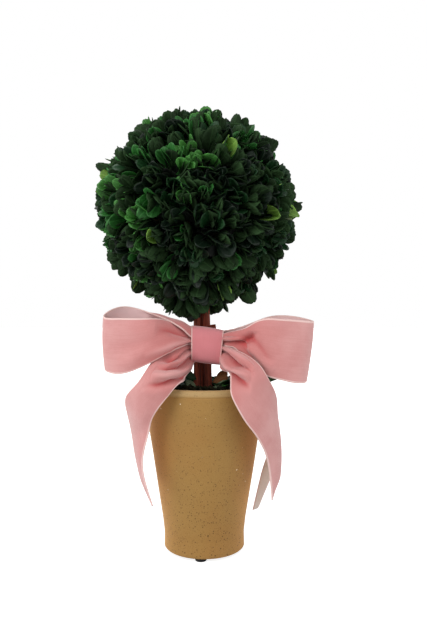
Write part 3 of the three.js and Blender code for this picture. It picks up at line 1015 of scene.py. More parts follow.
# Stages of forking: how far out each ends as a share of the ball, its girth at its start and its end, and
# how many points its path has.
BOUGH_REACH, TWIG_REACH, SPRIG_REACH = 0.36, 0.60, 0.838
BOUGH_GIRTH, TWIG_GIRTH, SPRIG_GIRTH, TIP_GIRTH = 1.5 * MM, 0.95 * MM, 0.6 * MM, 0.35 * MM
STAGES = [
    ("boughs", BOUGH_REACH, BOUGH_GIRTH, TWIG_GIRTH, 9),
    ("twigs", TWIG_REACH, TWIG_GIRTH, SPRIG_GIRTH, 8),
    ("sprigs", SPRIG_REACH, SPRIG_GIRTH, TIP_GIRTH, 10),
]
LEAF_ROUGHNESS = {
    # inner is the painted shade tint for leaves inside the ball.
    "inner": 0.6,
    "deep": 0.42,
    "dark": 0.40,
    "fresh": 0.38,
    "mid": 0.38,
    "young": 0.5,
    "faded": 0.6,
}
# Where pairs of leaves stand, in mm behind a sprig's tip, a twig's tip, and in the sprig's shade.
OUTER_DEPTHS = [0, 2.0, 4.4, 7.0, 9.8]
INNER_DEPTHS = [3, 9, 15, 21]
SHADE_DEPTHS = [13, 18, 23]
# The side of the ball that is painted lit, where sprays are dealt fresher and brighter tints, and how often a
# spray there and on the shady side, painted in shade, is deep, dark, fresh or mid.
SUNNY_SIDE = unit([-0.5, 0.42, 0.56])
SUNNY_SHARES = np.array([0.03, 0.14, 0.47, 0.36])
SHADY_SHARES = np.array([0.72, 0.23, 0.05, 0.0])


def build_crown(settings):
    """Boughs fork from the sticks' tops, then twigs from boughs and sprigs from twigs."""
    centre, half = centre_and_half("leaf_ball")
    foliage = Foliage(settings.seed, settings.leaf_length)
    random = foliage.random
    parents = []
    for name in STICKS:
        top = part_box(name)[1].z
        parents.append((np.array([*stick_middle(name, 1.0), top - 1.5 * MM]), np.array([0, 0, 1.0])))
    for stage, reach, thick, thin, steps in STAGES:
        ends = []
        for direction in even_directions(random, getattr(settings, stage), 0.75):
            end = centre + direction * half * reach * random.uniform(0.94, 1.045)
            if end[2] < centre[2] and near_sticks(end):
                continue
            nearest = min(parents, key=lambda parent: np.linalg.norm(parent[0] - end))
            tilt = unit(direction + random.normal(0, 0.13, 3))
            path = bent_path(nearest[0], nearest[1] + tilt * 0.6, end, tilt, steps)
            foliage.twig(path, thick, thin)
            ends.append((end, tilt))
            if stage == "sprigs":
                dress_sprig(foliage, path, direction, centre)
            else:
                # The leaves on boughs and twigs, inside the ball, take the painted shade tint.
                foliage.sprig(path, INNER_DEPTHS, "inner", opening=(45, 75))
        parents = ends
    hang_skirt(foliage, centre, half)
    tints = {
        name: leaf_material(f"Leaf {name}", getattr(settings, name), rough)
        for name, rough in LEAF_ROUGHNESS.items()
    }
    foliage.build("crown", tints, underside_material(settings), twig_material(settings), "leaf_ball")


def off_the_stem(point):
    """Whether a leaf's tip keeps clear of the sticks."""
    return not near_sticks(point, 8 * MM)


def dress_sprig(foliage, path, direction, centre):
    """Leaves for one sprig. The tint is dealt out by spray, brighter towards the sunny side and darker away
    from it as painted light and shade, and a few sprays hold odd leaves.
    """
    random = foliage.random
    sunny = float(np.clip(0.5 + 0.75 * direction @ SUNNY_SIDE, 0, 1))
    shares = sunny * SUNNY_SHARES + (1 - sunny) * SHADY_SHARES
    tint = str(random.choice(["deep", "dark", "fresh", "mid"], p=shares))
    luck = random.random()
    odd = "young" if luck < 0.06 else "faded" if luck < 0.075 else None

    def clear(point):
        return point[2] >= centre[2] or off_the_stem(point)

    foliage.sprig(path, OUTER_DEPTHS, tint, odd, clear=clear)
    # Leaves deep in the sprig take the painted shade tint.
    foliage.sprig(path, SHADE_DEPTHS, "inner", opening=(48, 66), clear=clear)


# Sprigs that hang round the top of the stem: the angle round it and how far out they end in mm,
# how far under the ball's foot they reach in mm, and their tint.
SKIRT = [
    (208, 24, 5, "dark"),
    (228, 20, 6, "fresh"),
    (246, 14, 9, "deep"),
    (292, 12, 1, "mid"),
    (338, 14, 2, "dark"),
    (25, 17, 3, "deep"),
    (75, 15, 4, "dark"),
    (120, 16, 3, "deep"),
    (165, 17, 5, "dark"),
    (268, 9.5, 3, "young"),
]


def hang_skirt(foliage, centre, half):
    """A few sprigs that hang lower than the rest round the top of the stem."""
    x, y = stick_middle("stick_back", 0.7)
    foot = np.array([x - MM, y - 3 * MM, centre[2] - half[2] + 8 * MM])
    for angle, out_to, low, tint in SKIRT:
        out = facing(math.radians(angle))
        start = foot + out * 22 * MM + [0, 0, 30 * MM]
        end = foot + out * out_to * MM + [0, 0, (4 - low) * MM]
        path = bent_path(start, out * 0.4 + [0, 0, -1], end, out * 0.25 + [0, 0, -1], 8)
        foliage.twig(path, SPRIG_GIRTH, TIP_GIRTH)
        foliage.sprig(path, OUTER_DEPTHS[:4], tint, opening=(8, 26), clear=off_the_stem)


# ---------------------------------------------------------------- moss and leaves round the foot


def build_filling(settings):
    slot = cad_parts["planting_foam"].material_slots[0]
    crumbs = shaded(settings.foam, 0.7)
    slot.material = earthy_material("Planting foam", settings.foam, crumbs, 200.0, 1500.0, 0.2 * MM)
    low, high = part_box("moss")
    radius = high.x
    levels = [(1, 3.5), (0.8, 1.2), (0.55, 5.5), (0, 7.0)]  # share of the radius, and mm under the top
    outline = [(0, low.z), (radius, low.z)] + [(part * radius, high.z - down * MM) for part, down in levels]

    def lumps(r, height, angle):
        here = Vector((math.cos(angle) * r, math.sin(angle) * r, height))
        return 0 if r < MM else 1.0 * MM * noise.noise(here * 160)

    corners, faces = turned(subdivided(rounded(outline, 3 * MM), 2 * MM), 90, lumps)
    corners = np.array(corners)
    for point in corners:
        if point[2] > low.z + MM:
            point[2] += 0.9 * MM * noise.noise(Vector(point) * 190)
    moss = earthy_material("Moss", settings.moss, settings.moss_dry, 130.0, 1600.0, 0.3 * MM)
    bed = new_mesh("moss_bed", corners, faces, [moss])
    tree = bpy.data.node_groups.get("Moss") or moss_tree()
    top = new_mesh("moss_top", *upper_side(corners, faces, high.z - 9 * MM))
    tufts = grown(
        "moss_tufts",
        top,
        tree,
        Leaves=leaf_collection(moss),
        Density=settings.moss_tufts * 1000.0,
        Seed=settings.seed,
        Material=moss,
        **{"Leaf size": 4.2 * MM},
    )
    finished("moss_bed", bed, "moss", "moss")
    finished("moss_tufts", tufts, "moss")


def upper_side(corners, faces, level):
    """The part of a mesh whose faces lie above a level."""
    kept = [face for face in faces if min(corners[i][2] for i in face) > level]
    used = sorted({i for face in kept for i in face})
    place_of = {old: new for new, old in enumerate(used)}
    return corners[used], [[place_of[i] for i in face] for face in kept]


# How many sprigs lie on each side of the sticks, and what their leaves and stems measure.
FOOT_SPRIGS = {"foot_leaves_left": 7, "foot_leaves_right": 7, "foot_leaves_back": 9, "foot_leaves_side": 3}
FOOT_LEAF_SHARE = 0.86  # of the length of the crown's leaves
FOOT_SPRIG_GIRTH = 0.7 * MM
WALL_INSIDE, RIM_LEVEL = 38 * MM, 135 * MM  # where the tips of the foot's leaves would meet the pot
# Single leaves that show between the tails: their node and tint, their base, tip and upper side.
LAID_LEAVES = [
    ("foot_leaves_right", "brown", (6.5, -7, 132.5), (18.5, -8, 138), (-0.3, -0.85, 0.45)),
    ("foot_leaves_right", "brown", (8, -5, 132), (18, -6, 141), (-0.5, -0.8, 0.3)),
    ("foot_leaves_right", "grey", (7, -12, 129), (22, -14, 132), (0, -0.85, 0.5)),
    ("foot_leaves_right", "grey", (9, -16, 127), (21, -20, 129), (0.2, -0.75, 0.6)),
    ("foot_leaves_left", "dark", (-6.5, -7, 135), (-17, -9, 141), (0.35, -0.85, 0.4)),
    ("foot_leaves_left", "grey", (-6, -12, 129), (-14.5, -14, 134), (0, -0.9, 0.4)),
    ("foot_leaves_left", "dark", (-8, -14, 126), (-19, -16, 130), (0, -0.7, 0.7)),
]


def sight_line(point):
    """How high a foot leaf may stand: low in the middle, where light shows between the tails."""
    return 136.8 * MM - 0.107 * point[1] if abs(point[0] - 3 * MM) < 24 * MM else 1.0


def foot_leaf_fits(point):
    """Whether a foot leaf's tip keeps clear of the sticks, the pot's wall and the gap between the tails."""
    in_wall = math.hypot(point[0], point[1]) > WALL_INSIDE and point[2] < RIM_LEVEL
    return not in_wall and not near_sticks(point, 8.5 * MM) and point[2] < sight_line(point)


def build_foot_leaves(settings, crown):
    """Short sprigs laid round the sticks on the moss, some over the rim, with a few withered leaves."""
    random = np.random.default_rng(settings.seed)
    tints = {
        "dark": leaf_material("Foot leaf dark", crown.dark, 0.46),
        "mid": leaf_material("Foot leaf green", crown.mid, 0.46),
        "brown": leaf_material("Foot leaf brown", settings.brown_leaf, 0.6),
        "grey": leaf_material("Foot leaf grey", settings.grey_leaf, 0.6),
    }
    under = bpy.data.materials["Leaf underside"]
    twig = bpy.data.materials["Twig bark"]
    for i, (node, sprigs) in enumerate(FOOT_SPRIGS.items()):
        centre, half = centre_and_half(node)
        foliage = Foliage(settings.seed * 10 + i, crown.leaf_length * FOOT_LEAF_SHARE)
        for k in range(sprigs):
            around = 2 * math.pi * (k + random.uniform(0, 0.5)) / sprigs
            out = facing(around)
            start = centre + out * half * 0.1 - [0, 0, half[2] * 1.3]
            end = centre + out * half * random.uniform(0.25, 0.6)
            end[2] += half[2] * random.uniform(-0.4, 0.35)
            arriving = out + [0, 0, random.uniform(0.1, 0.7)]
            if end[2] > sight_line(end) - 4 * MM:
                end[2] = sight_line(end) - 4 * MM
                arriving[2] *= 0.2
            path = bent_path(start, np.array([0, 0, 1.0]), end, arriving, 7)
            foliage.twig(path, FOOT_SPRIG_GIRTH, TIP_GIRTH)
            tint = random.choice(["dark", "mid", "brown"], p=[0.52, 0.33, 0.15])
            foliage.sprig(path, [0, 2, 4.5, 7], str(tint), opening=(18, 62), clear=foot_leaf_fits)
        for laid, laid_tint, base, tip, upper in LAID_LEAVES:
            if laid == node:
                base, tip = np.array(base) * MM, np.array(tip) * MM
                foliage.leaf(laid_tint, base, tip - base, upper, np.linalg.norm(tip - base))
        foliage.build(node, tints, under, twig, node)


# ---------------------------------------------------------------- ribbon


def spline(points, where, knots=None):
    """A natural cubic curve through rows of points, read at shares of its length from 0 to 1."""
    points = np.asarray(points, float)
    rows = points.reshape(len(points), -1)
    if knots is None:
        knots = distances(points.reshape(len(points), -1, 3).mean(axis=1))
    gaps = np.diff(knots)
    system = np.eye(len(points))
    target = np.zeros_like(rows)
    for i in range(1, len(points) - 1):
        system[i, i - 1 : i + 2] = gaps[i - 1], 2 * (gaps[i - 1] + gaps[i]), gaps[i]
        target[i] = 6 * ((rows[i + 1] - rows[i]) / gaps[i] - (rows[i] - rows[i - 1]) / gaps[i - 1])
    curl = np.linalg.solve(system, target)
    at = np.asarray(where) * knots[-1]
    i = np.clip(np.searchsorted(knots, at, side="right") - 1, 0, len(gaps) - 1)
    gap = gaps[i][:, None]
    a, b = (knots[i + 1] - at)[:, None], (at - knots[i])[:, None]
    value = (curl[i] * a**3 + curl[i + 1] * b**3) / (6 * gap)
    value += (rows[i] / gap - curl[i] * gap / 6) * a + (rows[i + 1] / gap - curl[i + 1] * gap / 6) * b
    return value.reshape((len(at),) + points.shape[1:])


LOOP_ROWS, TAIL_ROWS = 230, 190
SELVEDGE = 0.038  # how far the pale edge reaches in, as a share of the half width
ACROSS = np.concatenate([[-1, -1 + SELVEDGE], np.linspace(-0.92, 0.92, 53), [1 - SELVEDGE, 1]])


def ribbon_surface(stations, rows):
    """A grid of points in metres, along and across, through stations of points across the ribbon."""
    stations = np.array(stations, float).reshape(len(stations), -1, 3) * MM
    along = spline(stations, np.linspace(0, 1, rows))
    lanes = np.linspace(0, 1, stations.shape[1])
    return spline(along.transpose(1, 0, 2), (ACROSS + 1) / 2, lanes).transpose(1, 0, 2)


def surface_normals(grid, closed=False):
    if closed:
        along = np.roll(grid, -1, axis=0) - np.roll(grid, 1, axis=0)
    else:
        along = np.gradient(grid, axis=0)
    return unit(np.cross(along, np.gradient(grid, axis=1)))


def widths(grid):
    """How wide the cloth is at each row of its grid."""
    return np.linalg.norm(np.diff(grid, axis=1), axis=2).sum(axis=1)


def cloth_place(grid):
    """Each point's distance along and across the ribbon, in metres."""
    return np.meshgrid(ACROSS * widths(grid).max() / 2, distances(grid.mean(axis=1)))


def creased(grid, creases, side):
    """The grid with creases pressed in from its pile side, and how deep each point is pressed."""
    across, along = cloth_place(grid)
    push = np.zeros(across.shape)
    gathered = (widths(grid) / widths(grid).max())[:, None] ** 0.4
    for points, depth, width in creases:
        points = np.array(points, float) * MM
        gone = distances(points)
        gap, part = np.full(across.shape, np.inf), np.zeros(across.shape)
        for start, end, passed in zip(points, points[1:], gone):
            run = end - start
            near = ((along - start[0]) * run[0] + (across - start[1]) * run[1]) / run.dot(run)
            near = np.clip(near, 0, 1)
            away = np.hypot(along - start[0] - near * run[0], across - start[1] - near * run[1])
            closer = away < gap
            gap = np.where(closer, away, gap)
            part = np.where(closer, (passed + near * np.linalg.norm(run)) / gone[-1], part)
        taper = np.sin(math.pi * np.clip(0.08 + 0.92 * part, 0, 1)) ** 0.6
        push += depth * MM * np.exp(-((gap / (width * MM)) ** 2)) * taper
    push *= gathered
    return grid - surface_normals(grid) * (push * side)[..., None], push


def ribbon_skin(name, grid, settings, side, closed=False, fold=None, **kinds):
    """The cloth's thickness, pile outwards, with rolled pale edges. side=-1 turns the pile over.

    fold is how deep each point of the grid is pressed, which the pile's material reads to paint shade into
    folds and a highlight onto ridges.
    """
    rows, columns = grid.shape[:2]
    normal = surface_normals(grid, closed) * side
    half, rim = settings.thickness / 2, settings.rim
    edge_out = [unit(grid[:, 0] - grid[:, 1]), unit(grid[:, -1] - grid[:, -2])]

    def rolled(j, up):
        """Three rows of points round the outside of one edge."""
        turn = [math.pi / 4, math.pi / 2, 3 * math.pi / 4]
        bends = [up * normal[:, j] * math.cos(a) + edge_out[j] * math.sin(a) for a in turn]
        return [grid[:, j] + rim * bend for bend in bends]

    lift = np.full(columns, half)
    lift[[0, -1]] = rim
    top = [grid[:, j] + normal[:, j] * lift[j] for j in range(columns)]
    back = [grid[:, j] - normal[:, j] * lift[j] for j in range(columns)][::-1]
    ring = np.stack(top + rolled(-1, 1) + back + rolled(0, -1), axis=1)
    size = ring.shape[1]
    pile, edge, reverse = 0, 1, 2
    slots_of_ring = [edge] + [pile] * (columns - 3) + [edge] * 6 + [reverse] * (columns - 3) + [edge] * 5
    across, along = cloth_place(grid)
    wide = np.concatenate([across[0], [across[0, -1]] * 3, across[0, ::-1], [across[0, 0]] * 3])
    uv = np.stack(np.broadcast_arrays(wide[None, :], along[:, :1]), axis=2).reshape(-1, 2)
    faces, slots = [], []
    for i in range(rows if closed else rows - 1):
        a, b = i * size, ((i + 1) % rows) * size
        for j in range(size):
            k = (j + 1) % size
            faces.append([a + j, a + k, b + k, b + j])
            slots.append(slots_of_ring[j])
    if not closed:
        upper = [size - 1, *range(columns + 1)]
        lower = [size - 3, *range(size - 4, columns + 1, -1)]
        cap = [[size - 2, upper[0], lower[0]], [upper[-1], columns + 1, lower[-1]]]
        cap += [[a, b, d, c] for a, b, c, d in zip(upper, upper[1:], lower, lower[1:])]
        for first, order in ((0, 1), ((rows - 1) * size, -1)):
            faces += [[first + corner for corner in face][::order] for face in cap]
            slots += [edge] * len(cap)
    mesh = new_mesh(name, ring.reshape(-1, 3), faces, ribbon_materials(settings, **kinds), slots, uv)
    if fold is not None:
        edges = [np.repeat(fold[:, j : j + 1], 3, axis=1) for j in (columns - 1, 0)]
        store(mesh, "fold", "FLOAT", "POINT", np.hstack([fold, edges[0], fold[:, ::-1], edges[1]]))
    return outward(mesh)


# The bow's cloth in mm. Each row is a station: the x, y and z of five points across the ribbon, from its
# top or outer edge to its lower or inner edge.
LOOP_LEFT = [
    [-3, -22, 169.5, -3, -21.5, 172.5, -3, -17.5, 173.5, -3, -14.5, 170, -3, -15, 162],
    [-10.4, -26.8, 169.4, -10.3, -25, 174.6, -10.6, -19.5, 176.6, -11, -14.5, 172, -11.5, -14, 162],
    [-15, -32, 174, -15, -28, 179, -15.3, -20, 178.4, -15.7, -14.5, 170.5, -16, -15, 160],
    [-20.6, -34.2, 178.2, -20.8, -29, 181.4, -21, -20, 180.4, -21.3, -15, 170, -21.6, -16, 158],
    [-28, -32, 182.2, -28.5, -26, 184.2, -29.5, -18.5, 181.5, -30, -15, 170.5, -30.5, -16, 155],
    [-37.5, -26, 185.7, -38, -22, 186.6, -39, -17, 181.5, -39.5, -14.5, 168.5, -40, -16, 151.5],
    [-48, -17.5, 189.2, -48.4, -16, 184, -49, -15, 171.5, -49.5, -15, 159, -50, -16, 148.5],
    [-57.7, -16, 191.5, -58, -15.5, 182, -58.5, -15.5, 170, -59, -16, 158, -59, -17, 147.2],
    [-67, -20.5, 191, -68, -19, 181, -68.5, -18.5, 169, -69, -19, 157, -69, -20, 146.2],
    [-74.5, -29.5, 186.3, -75.2, -28.5, 176.5, -75.4, -28, 166, -75, -28, 155.5, -74.2, -28.5, 145.8],
    [-72.6, -38.5, 183.4, -73.4, -38, 174, -73.4, -38, 164, -72.8, -37.5, 154, -71.8, -37, 144.4],
    [-63, -43, 183.1, -63, -43.5, 173, -63, -43.5, 163, -63, -43, 153, -63, -42, 143.2],
    [-46.6, -46, 183, -46.6, -47.5, 173.5, -46.6, -47.5, 164.5, -46.8, -46.5, 156, -47, -44.5, 147.8],
    [-36, -43.5, 183, -36, -46.5, 176, -36, -46.5, 168, -36.2, -45, 160.5, -36.4, -42.5, 153],
    [-27, -34, 181.2, -27, -40.5, 176.5, -27, -42, 170, -27, -40.5, 163.5, -27.3, -38, 157.8],
    [-20.5, -29, 177.6, -20.5, -34.5, 174, -20.5, -36.5, 169, -20.5, -35.5, 164.5, -20.7, -33, 160.4],
    [-15.2, -26, 173.2, -15.2, -29.8, 171, -15.2, -30.8, 167.8, -15.2, -30, 165, -15.4, -28, 162.6],
    [-10.3, -22, 170, -10.3, -24.4, 168.6, -10.3, -25, 167, -10.3, -24.4, 165.6, -10.5, -22.5, 164.2],
    [-3, -21, 169, -3, -23, 168.2, -3, -23.5, 167, -3, -23, 165.8, -3, -21.5, 164.8],
]
LOOP_RIGHT = [
    [4, -16, 172, 4, -14, 170, 4, -13.5, 167, 4, -14, 164, 4, -15, 161],
    [12.5, -16.5, 173, 12.5, -14.5, 170.5, 12.5, -13.5, 167.5, 12.5, -14.5, 164.5, 12.5, -16.5, 161.5],
    [27.6, -17, 176, 27.8, -15.5, 171.5, 28, -15, 166, 28, -15.5, 161, 28, -17, 156],
    [41.5, -17.5, 181.2, 41.8, -16.5, 173, 42, -16, 164, 42, -16.5, 154, 42, -17.5, 145],
    [50.6, -18.5, 184.2, 50.8, -17, 174, 51, -16.7, 162, 51, -17, 151, 51, -18, 140.4],
    [61.7, -20.5, 184.9, 62, -19, 174, 62, -18.7, 162, 61.6, -19, 150.5, 61, -20.5, 139.8],
    [72.4, -25.5, 183.6, 72.2, -25, 172, 71.8, -24.8, 160.5, 71, -25, 149, 70, -25.5, 138.5],
    [80.4, -33.5, 181.2, 80, -33, 170, 78.8, -32.8, 158.5, 77.3, -33, 147.5, 75.5, -33.5, 137.2],
    [78.4, -41.5, 180.7, 77.8, -41.3, 169.5, 76.6, -41, 158.5, 75.1, -41, 147.5, 73.5, -41, 136.4],
    [67, -46, 181.8, 66.4, -46.3, 170.5, 66, -46.2, 159.5, 65.2, -46, 148.5, 64.4, -45.2, 137],
    [55, -47.5, 182.6, 55, -48, 171.5, 55, -48, 160.5, 55, -47.5, 150, 55, -46.2, 139.2],
    [44.5, -46.5, 182.9, 44.5, -47.5, 173, 44.5, -47.5, 163, 44.5, -46.5, 152.5, 44.5, -44.5, 142.4],
    [38, -44.5, 181, 38, -46, 173, 38, -46, 165, 38, -44.5, 156, 38, -42, 147.2],
    [31, -41, 176.6, 31, -43, 172, 31, -43, 166, 31, -41.5, 160, 31, -38.5, 153.6],
    [22.6, -34, 173.6, 22.6, -37.5, 171.5, 22.6, -38, 168, 22.6, -36.5, 164.5, 22.6, -33.5, 160.6],
    [16.8, -27.5, 172, 16.8, -30.5, 170.5, 16.8, -31, 168, 16.8, -30, 165.3, 16.8, -27.5, 162.4],
    [12, -21.5, 170.4, 12, -24, 169.4, 12, -24.6, 167.5, 12, -24, 165.6, 12, -21.5, 163.6],
    [4, -20.5, 170, 4, -22.8, 169, 4, -23.3, 167.5, 4, -22.8, 166, 4, -21, 164.5],
]
TAIL_LEFT = [
    [-3, -21, 160, -3, -22.8, 158.5, -3, -23.2, 156.5, -3, -22.8, 154.5, -3, -21, 153],
    [-10.4, -21.5, 162.5, -10.4, -24.4, 160.5, -10.4, -25, 157.5, -10, -24.4, 153.6, -7.8, -21.5, 149.8],
    [-17, -26.5, 162, -16, -32, 159, -15, -34, 155.5, -13, -33, 151, -8.4, -28, 146.2],
    [-26, -32, 158.4, -23.5, -42, 155, -20.5, -43.8, 151, -16.8, -41.8, 146.4, -11.2, -35.5, 141.4],
    [-35, -36.5, 154.2, -32.5, -48, 149.5, -28, -50.8, 146, -22, -48.8, 142, -14.4, -42.5, 138],
    [-41, -42.5, 147.6, -38, -52, 143.5, -32.7, -54, 140.3, -27, -52, 137.2, -19.6, -46.8, 135.4],
    [-46.8, -47.6, 138.4, -42.2, -54, 136.5, -36.6, -55.6, 134, -30.6, -54, 131.6, -24.6, -50, 130.2],
    [-57, -39.5, 126.6, -51.5, -46.4, 126.6, -45.5, -51, 125.2, -39, -52.5, 123.2, -32.2, -51.5, 120.9],
    [-58.1, -28, 112.5, -54.5, -37, 112.4, -50, -44, 112, -44.5, -47.6, 111.4, -38.2, -47.6, 110.8],
    [-56.6, -14, 95.5, -54.6, -25, 96.5, -51.2, -34, 97.8, -46.4, -41, 99.5, -40.5, -45, 101.2],
    [-54.8, -7, 78.5, -53.6, -18, 80, -51.6, -28, 82, -48.6, -37, 84.2, -44.4, -43, 86.2],
    [-51, -4, 60.5, -50.2, -14, 62.5, -49.2, -25, 65, -47.4, -35, 68, -44.6, -43.5, 70.6],
    [-44.6, -5, 44, -44.4, -14, 45.5, -43.6, -24, 47, -41.4, -34, 47.6, -38, -43.5, 47.2],
]
# The right tail's outer half curls round behind it, so that its pale reverse faces the front.
TAIL_RIGHT = [
    [4, -21, 159.5, 4, -22.8, 158, 4, -23.2, 156, 4, -22.8, 154, 4, -21, 152.5],
    [12, -22, 161.5, 12, -24.5, 159, 12, -25, 155.8, 12, -24.5, 152.5, 11.2, -22, 149.6],
    [17.8, -32, 161.4, 17, -35.5, 158.5, 16, -36, 154.8, 14.4, -34, 150.5, 11.9, -28.5, 147],
    [25.2, -41.5, 159, 23.6, -46, 156, 21.4, -46.6, 152, 18.4, -43, 147.5, 13.8, -36.5, 144.6],
    [33, -48, 155, 30, -53, 152.2, 26.6, -53.4, 148.4, 22.6, -49.4, 144.2, 17.8, -42.5, 141.6],
    [39.4, -51.4, 149.6, 35, -56, 147.2, 30.4, -56.8, 143.6, 25.2, -54, 139.6, 19, -48, 136.8],
    [44.4, -50.5, 142, 39.4, -56, 139.6, 33.2, -57.8, 136.4, 26.4, -56, 133, 19.2, -51, 130.4],
    [49.4, -42, 133.7, 44.4, -50.5, 132, 38, -55.5, 129.5, 30, -56, 126.5, 21.8, -53.5, 123.4],
    [53.6, -32, 123.9, 50, -42, 121.6, 44, -50, 118.4, 37, -53.5, 114.8, 29, -52.4, 110.6],
    [55.8, -20, 111.2, 54.4, -31, 109.2, 50.2, -41.5, 106.8, 43.6, -48.4, 104.4, 35.6, -50, 101.7],
    [56.2, -9, 95.4, 57.6, -20, 94.6, 56, -31.5, 93.6, 50, -41, 92.5, 41.7, -46, 91.4],
    [52.4, -3, 79.6, 57, -12, 80, 58.4, -23.5, 80.6, 53.4, -34.5, 81.4, 45.4, -42, 82.4],
    [47.2, 0.5, 62.6, 54, -7, 63.4, 58.2, -18, 64.6, 55.4, -30, 66, 48.4, -38.5, 67.4],
    [42.6, 1, 44.2, 50, -4, 46.6, 55.8, -13.5, 50.4, 54.8, -26.5, 51.6, 50, -37, 50],
]

# Creases pressed into the cloth, as points on it: [mm along it, mm across it], a depth and a width
# in mm. A negative depth makes a ridge.
LOOP_LEFT_CREASES = [
    ([(168, -8), (150, -8), (132, -9)], 4.4, 7.0),
    ([(168, 4), (153, 9), (140, 13), (124, 13)], -3.4, 4.6),
    ([(170, 16), (158, 18), (146, 20)], 3.0, 3.6),
    ([(137, -2), (112, 0), (92, 6)], 1.6, 9.0),
    ([(128, 6), (116, 12), (104, 16)], -1.2, 6.0),
]
LOOP_RIGHT_CREASES = [
    ([(169, 13), (154, 13), (147, 9), (137, 8)], 9.0, 5.2),
    ([(147, 10), (139, -2), (133, -14)], 6.6, 4.4),
    ([(138, -8), (131, -1), (126, 5), (119, 12)], 3.0, 5.0),
    ([(152, 22), (143, 16), (136, 16), (124, 21)], 2.6, 3.4),
    ([(164, -4), (152, 0), (146, 1)], -3.6, 4.0),
    ([(134, 6), (128, 12), (118, 18)], -1.8, 4.0),
    ([(164, -8), (148, -8), (132, -10)], 2.6, 8.0),
]
TAIL_LEFT_CREASES = [
    ([(2, -10), (15, -7), (23, -4), (30, -9), (36, -20)], 6.2, 4.6),
    ([(4, 12), (20, 9), (29, 7), (36, 0), (41, -13)], 4.8, 4.0),
    ([(15, 23), (33, 18), (40, 15), (46, 10), (51, 2), (56, -13)], 5.4, 4.6),
    ([(6, 2), (24, 2), (33, -4), (38, -14)], -3.0, 3.2),
    ([(20, 17), (34, 12), (42, 4), (47, -9)], -4.2, 4.0),
]
TAIL_RIGHT_CREASES = [
    ([(2, -8), (12, -8), (23, -3), (30, 1), (38, 5)], 9.6, 5.2),
    ([(32, 4), (40, -3), (47, -11)], 4.6, 4.6),
    ([(33, 23), (45, 14), (56, 1)], 6.0, 4.4),
    ([(6, 5), (22, 12), (35, 15)], -3.6, 4.0),
    ([(32, 13), (41, 8), (50, -2)], -3.2, 3.6),
    ([(6, -18), (20, -15), (34, -13), (48, -11)], -3.0, 3.6),
]


def swallowtail(grid, outer, apex, inner, notch_at, blunt):
    """Cuts a tail's end to two points, along its own cloth.

    outer, apex and inner are how far the two points and the notch between them reach past the last
    station, in mm. notch_at is where the notch lies across the ribbon, and blunt is the share of the half
    width that the outer point keeps square.
    """
    rows = len(grid)
    step = np.linalg.norm(np.diff(grid.mean(axis=1), axis=0), axis=1)[-8:].mean()
    moved, out = rows // 2, grid.copy()
    shares = [-1, -1 + blunt, notch_at, 1]
    for j, reach in enumerate(np.interp(ACROSS, shares, [outer, outer, apex, inner]) * MM):
        at = np.linspace(rows - 1 - moved, rows - 1 + reach / step, moved + 1)
        low = np.clip(at.astype(int), 0, rows - 2)
        part = (at - low)[:, None]
        out[rows - 1 - moved :, j] = grid[low, j] * (1 - part) + grid[low + 1, j] * part
    return out


def build_ribbon(name, settings, stations, creases, rows, side, cut=None, **kinds):
    """A loop or a tail of the bow, from its stations and creases."""
    grid, fold = creased(ribbon_surface(stations, rows), creases, side)
    if cut:
        grid = swallowtail(grid, **cut)
    mesh = ribbon_skin("velvet_" + name, grid, settings, side, fold=fold, **kinds)
    finished("velvet_" + name, mesh, "velvet", "bow_" + name)


def build_loops(settings):
    for name, stations, creases, side in (
        ("loop_left", LOOP_LEFT, LOOP_LEFT_CREASES, -1),
        ("loop_right", LOOP_RIGHT, LOOP_RIGHT_CREASES, 1),
    ):
        build_ribbon(name, settings, stations, creases, LOOP_ROWS, side, back="Loop reverse")


TAIL_LEFT_CUT = {"outer": -2, "apex": -18, "inner": 0, "notch_at": 0.0, "blunt": 0.02}
TAIL_RIGHT_CUT = {"outer": 13, "apex": -24, "inner": 1, "notch_at": -0.35, "blunt": 0.28}


def build_tails(settings):
    for name, stations, creases, side, cut in (
        ("tail_left", TAIL_LEFT, TAIL_LEFT_CREASES, 1, TAIL_LEFT_CUT),
        ("tail_right", TAIL_RIGHT, TAIL_RIGHT_CREASES, -1, TAIL_RIGHT_CUT),
    ):
        build_ribbon(name, settings, stations, creases, TAIL_ROWS, side, cut)


KNOT_CENTRE = (1.6, -18.6, 162.4)  # mm
KNOT_SIZE = (22.4, 17.0, 26.2)  # mm across, deep and high
KNOT_SLOPE = 0.14  # how far it falls to the right, for each mm across
KNOT_FLARE = 0.055  # how far its right side leans out, for each mm up


def band_grid(rows, at):
    """A closed band of cloth: at(angle, across) gives a point in mm."""
    angles = np.linspace(0, 2 * math.pi, rows, endpoint=False)
    return np.array([[at(angle, across) for across in ACROSS] for angle in angles]) * MM


def outer_side(grid):
    """1 if a closed band's normals point out of it, or -1."""
    out = grid[0, len(ACROSS) // 2] - grid.mean(axis=(0, 1))
    return 1 if surface_normals(grid, True)[0, len(ACROSS) // 2] @ out > 0 else -1


def squared(value):
    """A circle's sine or cosine, pushed out towards a square's."""
    return math.copysign(abs(value) ** 0.62, value)


